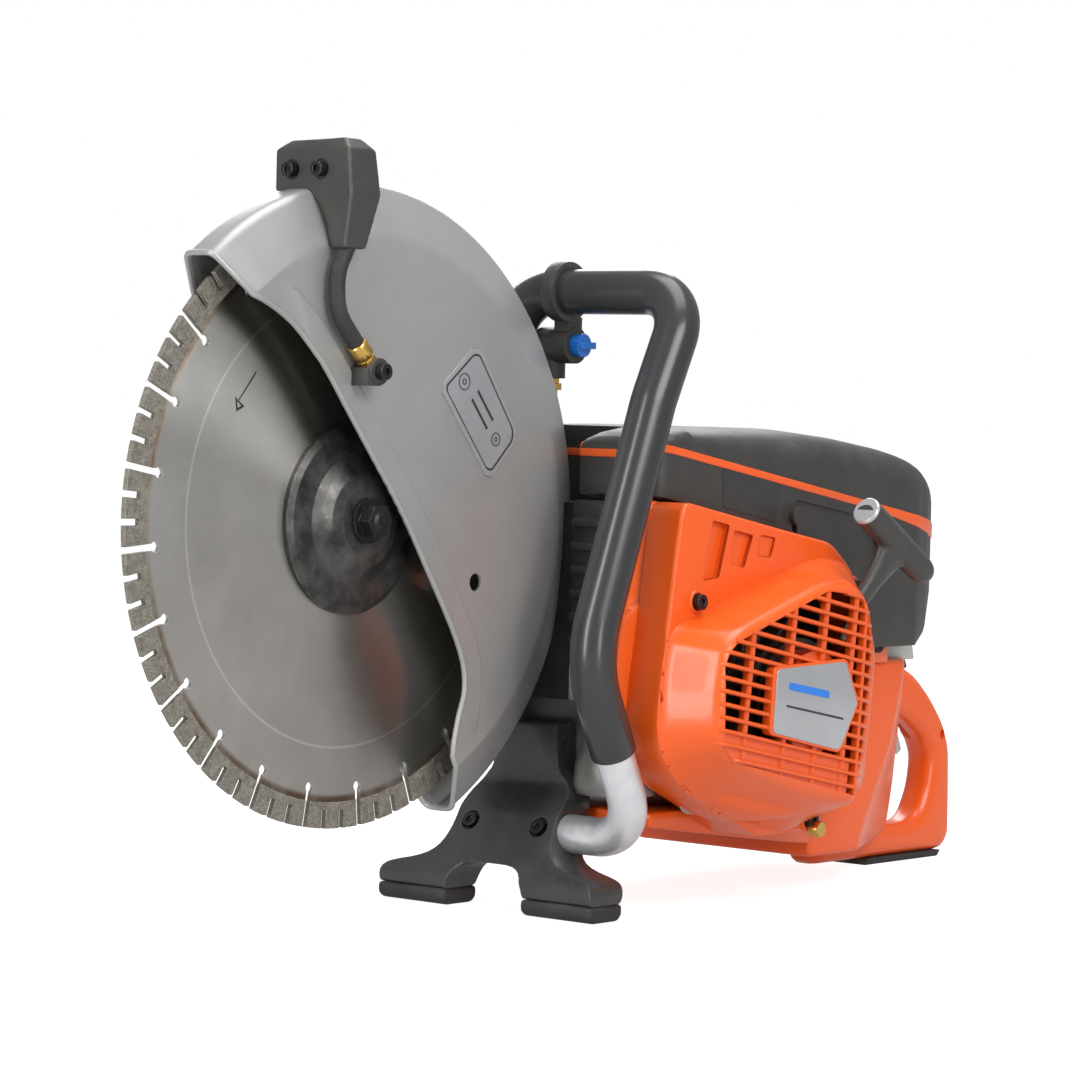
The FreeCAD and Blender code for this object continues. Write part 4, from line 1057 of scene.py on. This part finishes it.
def makeStarter(s):
    surface = StarterSurface(s)
    c = s["centre"]
    angles = [2 * math.pi * i / s["samples"] for i in range(s["samples"])]
    columns = [surface.profile(a) for a in angles]
    rings = []
    for k in range(len(columns[0])):
        rings.append([at(c[0] + col[k][0] * cos(a), col[k][1], c[1] + col[k][0] * sin(a))
                      for a, col in zip(angles, columns)])
    mesh = lofted(rings, True, merge=0.05)
    shell = scratch(mesh)
    solid = shell.modifiers.new("wall", "SOLIDIFY")
    solid.thickness = s["wall"] * mm
    solid.offset = -1
    mesh = settled(shell)
    cutters = [prism(roundedOutline(v, 2), s["flangeY"] - 3, s["flangeY"] + 8) for v, deep in s["vents"]]
    mesh = combined(mesh, cutters)
    mesh.materials.clear()
    piece("starter_shell", mesh, "orangeShell", "machine", ("starter_cover",), smooth=28)
    # vent pockets: a floor that stops short of the leading side and leaves a slot; a black strip behind the
    # slot is painted shade for the shadow in the gap
    pockets, slots = [], []
    for v, deep in s["vents"]:
        y = s["flangeY"]
        rim = roundedOutline(v, 2)
        front = [at(x, y + 0.1, z) for x, z in rim]
        pockets.append(lofted([front, [at(x, y + deep, z) for x, z in rim]], True))
        (x0, z0), (x1, z1), (x2, z2), (x3, z3) = v
        floor = [(x0 + 2.4, z0), (x1 + 0.5, z1), (x2 + 0.5, z2), (x3 + 2.4, z3)]
        pockets.append(prism(floor, y + deep, y + deep + 1))
        # painted shade: black strip behind the gap in the pocket floor
        slots.append(prism([(x0 - 0.5, z0), (x0 + 3, z0), (x3 + 3, z3), (x3 - 0.5, z3)], y + deep + 1.2,
                           y + deep + 2))
    piece("starter_vent_pockets", joined(pockets), "orangeShell", "machine", smooth=30)
    piece("starter_vent_painted_shade", joined(slots), "heatproofBlack", "machine", smooth=0)
    # grille slats and ribs, running from edge to edge of the opening and round its rear corner
    direction = Vector((1, s["slope"])).normalized()
    bars = []
    for k in range(s["slatRows"]):
        base = (262, s["slatTop"] - s["slatPitch"] * k)
        ends = crossings(surface.grille, c, base, direction)
        if len(ends) >= 2 and (ends[-1] - ends[0]).length > 8:
            bars.append(sweepOn(surface, ends[0] - direction * 3.5, ends[-1] + direction * 1.0, s["slatHigh"],
                                s["slatDeep"], -0.7))
    upright = Vector((s["lean"], 1)).normalized()
    for x in s["ribs"]:
        ends = crossings(surface.grille, c, (x, -95), upright)
        if len(ends) >= 2:
            bars.append(sweepOn(surface, ends[0] - upright * 1.5, ends[-1] + upright * 1.5, s["ribHigh"], 5.0,
                                0.9))
    bars += [sweepOn(surface, *rib) for rib in s["sideRibs"]]
    piece("starter_grille", joined(bars), "orangeShell", "machine", smooth=30)
    # closed corner low at the front, plate frame and the spring housing behind it
    blank = prism(s["closed"], s["faceY"] + 2.2, s["faceY"] + 4)
    piece("starter_blank", joined([blank]), "orangeShell", "machine", smooth=0)
    middle = Vector((249, -106))
    rim = [tuple(middle + (Vector(p) - middle) * 1.065) for p in s["plate"]]
    frameMesh = bevelled(prism(roundedOutline(rim, 3), s["faceY"] - 1.6, s["faceY"] + 5), 0.8, 3)
    piece("starter_plate_frame", frameMesh, "orangeShell", "machine")
    plate = bevelled(prism(roundedOutline(s["plate"], 2.5), s["faceY"] - 2.2, s["faceY"] - 1), 0.35, 2)
    piece("starter_badge", plate, "plateMetal", "machine", ("starter_plate",))
    line = prism(s["badgeLine"], s["faceY"] - 2.35, s["faceY"] - 2)
    piece("starter_badge_line", line, "printInk", "machine")
    mark = prism(roundedOutline(s["badgeMark"], 2), s["faceY"] - 2.35, s["faceY"] - 2)
    piece("starter_badge_mark", mark, "bluePlastic", "machine")
    piece("starter_spring_cup", turnedMesh(s["springCup"], (crank.x, crank.z), 64), "orangeShell", "machine")
    # half-round lip under the dome, with the grey mount and the pale screw beside it
    count = s["scoopSteps"]
    (x0, z0), (runX, runZ) = s["scoopFrom"], s["scoopRun"]
    chord = [Vector((x0 + runX * i / count, 0, z0 + runZ * i / count)) for i in range(count + 1)]
    drop = [s["scoopDrop"] * max(sin(math.pi * i / count), 0) ** 0.7 for i in range(count + 1)]
    top = [surface.depth(p.x, p.z) - 0.4 for p in chord]
    rings = [[at(p.x, y + 4, p.z + 5) for p, y in zip(chord, top)],
             [at(p.x, y, p.z) for p, y in zip(chord, top)]]
    for fall, back in ((0.3, 0.06), (0.6, 0.2), (0.85, 0.45), (1.0, 0.8), (0.9, 1.0)):
        rings.append([at(p.x - d * 0.2 * fall, y + (s["scoopBack"] - y) * back, p.z - d * fall)
                      for p, d, y in zip(chord, drop, top)])
    piece("starter_scoop", lofted(rings, False), "orangeShell", "machine", smooth=50)
    piece("starter_mount", turnedMesh(s["mount"], s["mountAt"], 48), "greyPlastic", "machine")
    piece("starter_pale_screw", turnedMesh(s["paleScrew"], s["paleScrewAt"], 32), "brass", "machine")
    bosses = []
    for x, z in s["screws"]:
        y = s["flangeY"]
        collar = [(4.9, y - 0.6), (5.4, y - 1.2), (6.4, y - 1.2), (7.2, y - 0.4), (7.6, y + 1), (4.9, y + 1)]
        bosses.append(turnedMesh(collar, (x, z), 32))
    piece("starter_screw_bosses", joined(bosses), "orangeShell", "machine")


makeStarter(starter)
print("starter ready")

# top cover
cover = {
    "top": [(172, 44), (174, 46.5), (178, 50), (186, 53.5), (200, 56), (260, 57), (333, 56.5), (380, 53),
            (425, 47.5), (452, 42.5),
            (470, 37), (483, 30), (490, 22), (495, 12), (498, 4), (500, -2)],
    "low": [(172, 16), (276, -3), (318, -10), (326, -14), (335, -21), (360, -52), (370, -70), (376, -80),
            (440, -80), (455, -72), (475, -45), (492, -20), (500, -5)],
    "left": [(172, -82), (173, -85.5), (175, -88), (178, -90), (183, -91.6), (188, -92), (440, -92), (458, -87),
             (474, -79), (488, -67), (497, -54), (500, -44)],
    "right": [(172, -30), (201.8, -28), (202.2, 66), (204, 73), (208, 79), (214, 83), (220, 84), (440, 84),
              (458, 77), (474, 68), (488, 56), (497, 45), (500, 36)],
    "stripe": (178, 46.0, -0.164), "stripeWidth": 4.4, "rearWidth": 11, "widens": (400, 90),
    "hole": (309, -5.5, 4.2),
    "panel": [(231, 33), (288, 24), (287, -0.6), (232, 9)],
    "pocket": [(304, 14), (384, 2), (400, -22), (392, -48), (350, -40), (322, -14), (302, -7)],
}


def alongTable(table, x):
    for (x0, v0), (x1, v1) in zip(table, table[1:]):
        if x0 <= x <= x1:
            return v0 + (v1 - v0) * (x - x0) / max(x1 - x0, 1e-9)
    return table[0][1] if x < table[0][0] else table[-1][1]


def stripeHeight(c, x):
    start, run = c["widens"]
    return c["stripeWidth"] + (c["rearWidth"] - c["stripeWidth"]) * max(0, min(1, (x - start) / run))


def coverSection(c, x):
    top, low, left, right = (alongTable(c[side], x) for side in ("top", "low", "left", "right"))
    x0, z0, slope = c["stripe"]
    line = min(z0 + slope * (x - x0), top - 1.5)
    wide = stripeHeight(c, x)
    under = max(line - wide, low + 1.0) if line > low + 2 else line
    middle = (left + right) / 2
    half = (right - left) / 2
    side = [low, low + (under - low) * 0.33, low + (under - low) * 0.66, under]
    points = [(left, z) for z in side]
    n = 2 / 4.2
    steps = 14
    crown = []
    for k in range(steps * 2 + 1):
        a = math.pi * k / (steps * 2)
        y = middle - half * math.copysign(abs(cos(a)) ** n, cos(a))
        z = line + (top - line) * abs(sin(a)) ** n
        crown.append((y, z))
    points += crown
    return points + [(right, z) for z in reversed(side)]


def makeCover(c):
    stations = sorted({x for key in ("top", "low", "left", "right") for x,
                       _ in c[key]} | set(range(180, 500, 8)))
    rings = []
    for x in stations:
        rings.append([at(x, y, z) for y, z in coverSection(c, x)])
    mesh = bevelled(lofted(rings, True, (True, True), merge=0.01), 1.4, 2, 50)
    x, z, radius = c["hole"]
    hole = lofted([[at(x + a, y, z + b) for a, b in circle(radius, 32)] for y in (-100, -80)], True,
                  (True, True))
    pocket = bevelled(prism(roundedOutline(c["pocket"], 6), -96, -88.6), 1.2, 3)
    mesh = combined(mesh, [hole, pocket])
    mesh.materials.clear()
    piece("top_cover_shell", mesh, "darkPlastic", "machine", ("top_cover",), smooth=30)
    # stripe: a narrow band lying just proud of the cover, all the way round
    leftSide = [(x, alongTable(c["left"], x)) for x in stations]
    rightSide = [(x, alongTable(c["right"], x)) for x in reversed(stations)]
    loop = leftSide + rightSide
    x0, z0, slope = c["stripe"]
    rings = []
    for k, (x, y) in enumerate(loop):
        before, after = Vector(loop[k - 1]), Vector(loop[(k + 1) % len(loop)])
        run = (after - before).normalized()
        out = Vector((run.y, -run.x))
        if out.dot(Vector((x - 330, (y + 4) * 1.6))) < 0:
            out = -out
        z = min(z0 + slope * (x - x0), alongTable(c["top"], x) - 1.5)
        wide = stripeHeight(c, x)
        corners = [(out * -1.0, 0.5), (out * 0.55, 0.1), (out * 0.7, -0.4), (out * 0.7, 0.4 - wide),
                   (out * 0.55, 0.1 - wide), (out * -1.0, -wide - 0.5)]
        rings.append([at(x + o.x, y + o.y, z + dz) for o, dz in corners])
    rings.append(rings[0])
    piece("cover_stripe", lofted(rings, True, merge=0.001), "orangeShell", "machine", smooth=30)
    panel = bevelled(prism(roundedOutline(c["panel"], 3), -92.5, -91), 0.3, 2)
    piece("cover_panel", panel, "printInk", "machine")


makeCover(cover)
print("cover ready")

# front foot
foot = {
    "half": [(82, -223.3), (82.6, -217), (80, -212), (74, -209.5), (58, -206), (48, -202), (42, -196),
             (39, -188), (38, -180), (38, -171), (36, -163), (31, -156), (26, -151), (24.3, -145), (24, -122)],
    "arch": [(30.6, -223.3), (28.5, -216), (25, -210), (19, -206.5), (12, -205.5)],
    "side": [(127, -223.3), (127, -214.5), (129.5, -211), (133, -207), (149, -176), (151, -173.5),
             (163, -161.5), (165, -158),
             (163, -122), (182, -122), (182, -160), (176, -186), (160, -206), (156, -223.3)],
    "guardRoom": 195.0, "soft": 2.6,
    "recess": 6.4, "screws": [(148.5, -26.5, -184), (148.5, 26.5, -184)],
}


def makeFoot(f):
    outline = smoothLine(f["half"], 1)
    arch = smoothLine(f["arch"], 1)
    front = outline + [(-y, z) for y, z in reversed(outline)]
    front += [(-y, z) for y, z in arch] + [(y, z) for y, z in reversed(arch)]
    block = prism(front, 120, 190, "x")
    side = prism(roundedOutline(f["side"], 3, 3), -90, 90)
    mesh = combined(block, [side], "INTERSECT")
    room = lofted([[at(a, y, b) for a, b in circle(f["guardRoom"], 180)] for y in (-30, 30)], True,
                  (True, True))
    socket = lofted([[at(160 + a, y, -186 + b) for a, b in circle(11.6, 40)] for y in (-80, -30)], True,
                    (True, True))
    mesh = combined(mesh, [room])
    mesh = bevelled(cleaned(mesh, 2.0, 0.05), f["soft"], 4, 24)
    tools = [socket]
    facing = Vector((-0.86, 0, 0.5)).normalized()
    lift = facing.cross(Vector((0, 1, 0)))
    for x, y, z in f["screws"]:
        rings = []
        for t in (-0.5, 14):
            centre = Vector((x, y, z)) + facing * t
            rings.append([at(*(centre + Vector((0, 1, 0)) * a + lift * b)) for a, b in circle(f["recess"], 36)])
        tools.append(lofted(rings, True, (True, True)))
    mesh = combined(mesh, tools)
    mesh.materials.clear()
    piece("foot_casting", mesh, "greyCasting", "machine", ("front_foot",), smooth=34)


makeFoot(foot)

# rounded engine casting showing between the foot and the starter
mountProfile = [(0.01, -112), (17, -112), (22, -114), (22, -119), (19.5, -121), (20.5, -127), (25, -146),
                (26, -158), (24, -163), (0.01, -163)]


def uprightTurned(profile, x, y, count=56):
    rings = []
    for k in range(count):
        a = 2 * math.pi * k / count
        rings.append([at(x + r * cos(a), y + r * sin(a), z) for r, z in profile])
    rings.append(rings[0])
    return lofted(rings, True, merge=0.001)


piece("case_front", uprightTurned(mountProfile, 188, -51), "bareCasting", "machine", smooth=30)
# painted shade: a black plate standing in for the shadow seen through the gaps around the starter and cover
paintedShadePlate = prism([(172, -108), (172, 10), (180, 10), (180, -108)], -30, 60)
piece("painted_shade_plate", paintedShadePlate, "heatproofBlack", "machine")

# pieces softened from the frame's own shapes
softPieces = [
    ("foot_rubber", "foot_pads", "rubber", 3.0, 4),
    ("belt_cover", "belt_guard", "greyCasting", 2.0, 3),
    ("arm_casting", "cutting_arm", "greyCasting", 1.0, 2),
    ("crank_case", "crankcase", "bareCasting", 1.5, 2),
    ("exhaust_shield", "muffler_shield", "heatproofBlack", 1.0, 2),
    ("exhaust_box", "muffler", "heatproofBlack", 2.0, 3),
    ("trigger_lever", "throttle_trigger", "greyPlastic", 1.0, 3),
    ("lockout_lever", "throttle_lockout", "darkPlastic", 1.0, 3),
    ("rear_foot_pad", "rear_feet", "rubber", 1.0, 2),
    ("nozzle_block", "spray_nozzle", "darkPlastic", 0.9, 2),
    ("valve_body", "water_valve", "darkPlastic", 0.8, 2),
    ("valve_knob", "water_knob", "bluePlastic", 0.8, 2),
    ("filler_cap", "fuel_cap", "darkPlastic", 1.0, 3),
    ("choke_arm", "choke_lever", "darkPlastic", 0.5, 2),
    ("latch_button", "cover_latch", "darkPlastic", 0.8, 2),
]
for name, node, finish, width, segments in softPieces:
    softened(name, node, finish, width, segments)
print("soft pieces ready")

# moulded lever on the guard rim
guardGrip = {
    "front": [(17, 183), (17, 206), (8, 211.5), (-32, 212.5), (-39, 206), (-41.5, 180), (-37.5, 151),
              (-27, 151), (-24, 158), (-23, 164), (-18, 174), (-9, 183)],
    "side": [(-46.5, 149), (-46.5, 207), (-42, 213.5), (-30, 213.5), (-24, 205), (-22, 182), (-29.5, 149)],
    "voxel": 0.8, "smoothing": 16, "screws": [(4, 195), (-18, 195)], "recess": 5.6,
}


def melted(meshes, voxel, smoothing):
    base = scratch(joined(meshes))
    remesh = base.modifiers.new("melt", "REMESH")
    remesh.mode = "VOXEL"
    remesh.voxel_size = voxel * mm
    smooth = base.modifiers.new("smooth", "SMOOTH")
    smooth.factor = 0.6
    smooth.iterations = smoothing
    return settled(base)


def makeGuardGrip(g):
    block = combined(prism(g["front"], -50, -16, "x"), [prism(g["side"], -50, 25)], "INTERSECT")
    mesh = melted([block], g["voxel"], g["smoothing"])
    wells = [lofted([[at(x, y + a, z + b) for a, b in circle(g["recess"], 32)] for x in (-55, -45.2)], True,
                    (True, True))
             for y, z in g["screws"]]
    mesh = combined(mesh, wells)
    mesh.materials.clear()
    piece("guard_grip", mesh, "gripPlastic", "guard", ("guard_handle",), smooth=50)


makeGuardGrip(guardGrip)

# fuel tank and rear handle as one moulding, with the pieces that sit on it
tank = {
    # height, left corner x, rear x
    "levels": [(-90, 450, 517), (-106, 448, 517), (-143, 438, 515), (-175, 420, 511), (-200, 406, 506),
               (-211, 403, 502)],
    "left": -78, "rearLeft": -30, "rearRight": 30, "right": 60, "front": 350,
    "sole": [(186, -181), (186, -172.5), (352, -172.5), (352, -203)],
    "handle": [(470, -90), (512, -95), (535, -99), (556, -108), (576, -124), (592, -142), (600, -160),
               (601, -189), (601, -221), (594, -229), (440, -229), (440, -205), (470, -200)],
    "gap": [(510, -128), (526, -131), (550, -140), (568, -152), (576, -165), (573, -185), (563, -203),
            (549, -208), (504, -206)],
    "triggerSlot": [(500, -112), (546, -112), (546, -130), (568, -130), (568, -165), (540, -165), (540, -152),
                    (500, -152)],
    "lockoutSlot": [(524, -90), (566, -90), (566, -122), (524, -122)],
    "fillerHole": [(0.01, 50), (14, 50), (14, 70), (0.01, 70)], "fillerAt": (410, -150),
    "screwHole": [(0.01, -30), (3.4, -30), (3.4, -13), (0.01, -13)], "screwAt": (587, -150),
    "bracket": [(392, -72), (440, -72), (452, -70), (476, -70), (482, -92), (392, -92)],
    "ear": [(384, -60), (425, -66), (425, -91), (384, -91)],
    "bolt": [(0.01, -83.5), (2.4, -83.5), (2.4, -85.4), (4.8, -85.4), (5.4, -84.6), (5.4, -81), (0.01, -81)],
    "boltAt": (411, -79), "rocker": [(503, -79), (512, -80), (514, -97), (504, -96)],
    "middle": (535, -168), "handleAt": -6, "handleHalf": 12, "handleSoft": 8.5, "bodySoft": 3.5,
    "slotHalf": 5.2,
}


def makeTank(t):
    rings = []
    for z, corner, rear in t["levels"]:
        plan = [(t["front"], t["left"]), (corner, t["left"]), (rear, t["rearLeft"]), (rear, t["rearRight"]),
                (rear - 30, t["right"]), (t["front"], t["right"])]
        rings.append([at(x, y, z) for x, y in plan])
    body = bevelled(lofted(rings, True, (True, True)), t["bodySoft"], 4, 14)
    middle = t["middle"]
    outer = polarRadius(roundedOutline(t["handle"], 8, 6), middle)
    inner = polarRadius(roundedOutline(t["gap"], 7, 6), middle)
    rings = []
    for k in range(180):
        a = 2 * math.pi * k / 180
        far, near = outer(a), inner(a)
        soft = min(t["handleSoft"], (far - near) * 0.45)
        ring = []
        for r, y, start in ((far - soft, t["handleHalf"] - soft, 0), (near + soft, t["handleHalf"] - soft, 90),
                            (near + soft, soft - t["handleHalf"], 180),
                            (far - soft, soft - t["handleHalf"], 270)):
            for step in range(6):
                turn = radians(start + 18 * step)
                ring.append((r + soft * cos(turn), t["handleAt"] + y + soft * sin(turn)))
        rings.append([at(middle[0] + r * cos(a), y, middle[1] + r * sin(a)) for r, y in ring])
    rings.append(rings[0])
    grip = lofted(rings, True, merge=0.001)
    half = t["slotHalf"]
    slots = [prism(t["triggerSlot"], -half, half), prism(t["lockoutSlot"], 1 - half, half - 1),
             turnedMesh(t["fillerHole"], t["fillerAt"], 40), turnedMesh(t["screwHole"], t["screwAt"], 24)]
    sole = bevelled(prism(t["sole"], t["left"], t["right"]), 2, 2)
    mesh = combined(body, [grip, sole], "UNION")
    mesh = combined(mesh, slots)
    mesh.materials.clear()
    rider = nodes["tank_handle"]["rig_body"]
    piece("tank_and_grip", mesh, "orangeShell", rider, ("tank_handle",), smooth=34)
    piece("tank_bracket", bevelled(prism(t["bracket"], -64, 48), 1.2, 2), "greyPlastic", rider)
    piece("tank_ear", bevelled(prism(t["ear"], -82, -66), 1.2, 2), "orangeShell", rider)
    piece("tank_ear_bolt", turnedMesh(t["bolt"], t["boltAt"], 32), "blackSteel", rider)
    rocker = bevelled(prism(t["rocker"], -35, -9), 1.0, 2)
    piece("stop_rocker", rocker, "redPlastic", nodes["stop_switch"]["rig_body"], ("stop_switch",))


makeTank(tank)

# starter grip and rope
grip = {
    "middle": (345, -141, -12), "axis": (0.855, 0, -0.519), "pull": (0.6, 0, 0.8), "stemEnd": (319, -133, -46),
    "half": 39, "capRadius": 9.2, "tipRadius": 8.7, "voxel": 0.9,
}


def makeGrip(g):
    middle, axis, stemEnd = (Vector(g[k]) for k in ("middle", "axis", "stemEnd"))
    across = Vector((0, 1, 0))
    lift = axis.cross(across)
    rings = []
    for k in range(29):
        t = -1 + 2 * k / 28
        end = 1 - abs(t) ** 10 * (0.45 if t > 0 else 0.08)
        swell = (g["capRadius"] + (g["tipRadius"] - g["capRadius"]) * (t + 1) / 2) * end
        centre = middle + axis * t * g["half"]
        rings.append([at(*(centre + across * swell * cos(a) + lift * swell * sin(a)))
                      for a in (2 * math.pi * i / 32 for i in range(32))])
    bar = lofted(rings, True, (True, True))
    run = stemEnd - middle
    rings = []
    for k in range(17):
        t = k / 16
        wide = 6.6 + 9.5 * (1 - t) ** 2.2
        deep = 4.6 + 1.6 * (1 - t)
        centre = middle + run * (0.04 + 0.96 * t)
        rings.append([at(*(centre + axis * wide * cos(a) + across * deep * sin(a)))
                      for a in (2 * math.pi * i / 32 for i in range(32))])
    stem = lofted(rings, True, (True, True))
    mesh = melted([bar, stem], g["voxel"], 10)
    piece("pull_grip", mesh, "gripPlastic", "grip", ("starter_grip",), smooth=70)
    # pale end cap with a dark half-moon inset
    rings = []
    for r, out in ((0.97, -0.5), (0.97, 0.8), (0.873, 1.6), (0.02, 1.8)):
        centre = middle - axis * (g["half"] + out)
        size = g["capRadius"] * r
        rings.append([at(*(centre + across * size * cos(a) + lift * size * sin(a)))
                      for a in (2 * math.pi * i / 40 for i in range(40))])
    piece("pull_grip_cap", joined([lofted(rings, True)]), "plateMetal", "grip", ("grip_cap",), smooth=40)
    centre = middle - axis * (g["half"] + 1.95)
    size = g["capRadius"] * 0.62
    arc = [(cos(radians(a)), sin(radians(a))) for a in range(10, 171, 10)]
    rings = [[at(*(centre + axis * depth + across * size * a + lift * size * (b * 0.7 - 0.1))) for a, b in arc]
             for depth in (0.0, 0.6)]
    piece("pull_grip_inset", lofted(rings, True, (True, True)), "printInk", "grip")


makeGrip(grip)

rope = {"radius": 2.1, "strands": 3, "turns": 5, "from": 30, "to": -6, "rings": 60}


def makeRope(r, g):
    pull = Vector(g["pull"])
    stemEnd = Vector(g["stemEnd"])
    side = Vector((0, 1, 0))
    lift = pull.cross(side)
    meshes = []
    for strand in range(r["strands"]):
        rings = []
        for k in range(r["rings"] + 1):
            t = k / r["rings"]
            turn = 2 * math.pi * (r["turns"] * t + strand / r["strands"])
            centre = stemEnd - pull * (r["from"] + (r["to"] - r["from"]) * t)
            centre = centre + (side * cos(turn) + lift * sin(turn)) * r["radius"] * 0.5
            rings.append([at(*(centre + (side * cos(a) + lift * sin(a)) * r["radius"] * 0.55))
                          for a in (2 * math.pi * i / 10 for i in range(10))])
        meshes.append(lofted(rings, True, (True, True)))
    made = piece("pull_rope", joined(meshes), "ropeCord", None, smooth=60)
    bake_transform(made)
    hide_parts("starter_rope")


makeRope(rope, grip)

# water hose
hose = {"route": [(-38, -32, 154), (-46, -31, 138), (-45, -31, 116), (-22, -31, 92)], "bends": [30, 25],
        "radius": 4.8,
        "collar": [(-29, -31, 99.4), (-28.4, -31, 98.8), (-22.4, -31, 92.6), (-21.8, -31, 92)]}
hoseMesh = tube(roundRoute(hose["route"], hose["bends"], 3), hose["radius"], 24)
piece("hose_tube", hoseMesh, "rubber", "guard", ("water_hose",), smooth=60)
collar = [Vector(p) for p in hose["collar"]]
ferrule = sweep(collar, lambda t: circle(5.3 if t in (0, 1) else 6.0, 32))
piece("hose_ferrule", ferrule, "brass", "guard", smooth=40)
print("grip, rope and hose ready")

# floor and light
stage = {
    "floor": (0.40, 0.40, 0.40), "floorGlow": 0.26, "floorSeen": 0.86, "floorSize": 30.0,
    "worldSeen": (1.0, 1.0, 1.0),
    "worldLight": (0.40, 0.41, 0.43),
    "lights": [
        # place and aim in metres from the machine's middle, size, power
        ("strip", (-2.0, 0.1, 0.8), (-0.1, 0, 0.25), (0.3, 1.8), 26),
        ("key", (-0.7, -2.0, 1.6), (0, 0, 0.2), (1.4, 0.9), 34),
        ("low", (-1.0, -2.2, 0.35), (0, 0, 0.2), (0.3, 0.9), 11),
        ("top", (0.2, -0.1, 2.0), (0, 0, 0.2), (1.5, 1.2), 26),
        ("back", (1.5, 1.6, 1.4), (0, 0, 0.3), (1.4, 0.8), 18),
    ],
}


def makeStage(s):
    size = s["floorSize"]
    mesh = meshFrom("floor", [(-size, -size, 0), (size, -size, 0), (size, size, 0), (-size, size, 0)],
                    [[0, 1, 2, 3]])
    floor = bpy.data.objects.new("floor", mesh)
    bpy.context.scene.collection.objects.link(floor)
    made, tree, surface = blankMaterial("paleFloor")
    surface.inputs["Base Color"].default_value = (*s["floor"], 1)
    surface.inputs["Roughness"].default_value = 0.8
    surface.inputs["Specular IOR Level"].default_value = 0.1
    seen = tree.nodes.new("ShaderNodeLightPath").outputs["Is Camera Ray"]
    glow = mixColour(tree, seen, (s["floorGlow"],) * 3, (s["floorSeen"],) * 3)
    tree.links.new(glow, surface.inputs["Emission Color"])
    surface.inputs["Emission Strength"].default_value = 1
    floor.data.materials.append(made)
    for name, place, aim, size, power in s["lights"]:
        data = bpy.data.lights.new(name, "AREA")
        data.shape = "RECTANGLE"
        data.size, data.size_y = size
        data.energy = power
        light = bpy.data.objects.new(name, data)
        bpy.context.scene.collection.objects.link(light)
        light.location = place
        light.rotation_mode = "QUATERNION"
        light.rotation_quaternion = (Vector(place) - Vector(aim)).to_track_quat("Z", "Y")
    world = bpy.data.worlds.new("studio")
    bpy.context.scene.world = world
    world.use_nodes = True
    tree = world.node_tree
    background = tree.nodes["Background"]
    path = tree.nodes.new("ShaderNodeLightPath")
    colour = mixColour(tree, path.outputs["Is Camera Ray"], s["worldLight"], s["worldSeen"])
    tree.links.new(colour, background.inputs["Color"])
    bpy.context.scene.view_settings.view_transform = "Standard"


makeStage(stage)
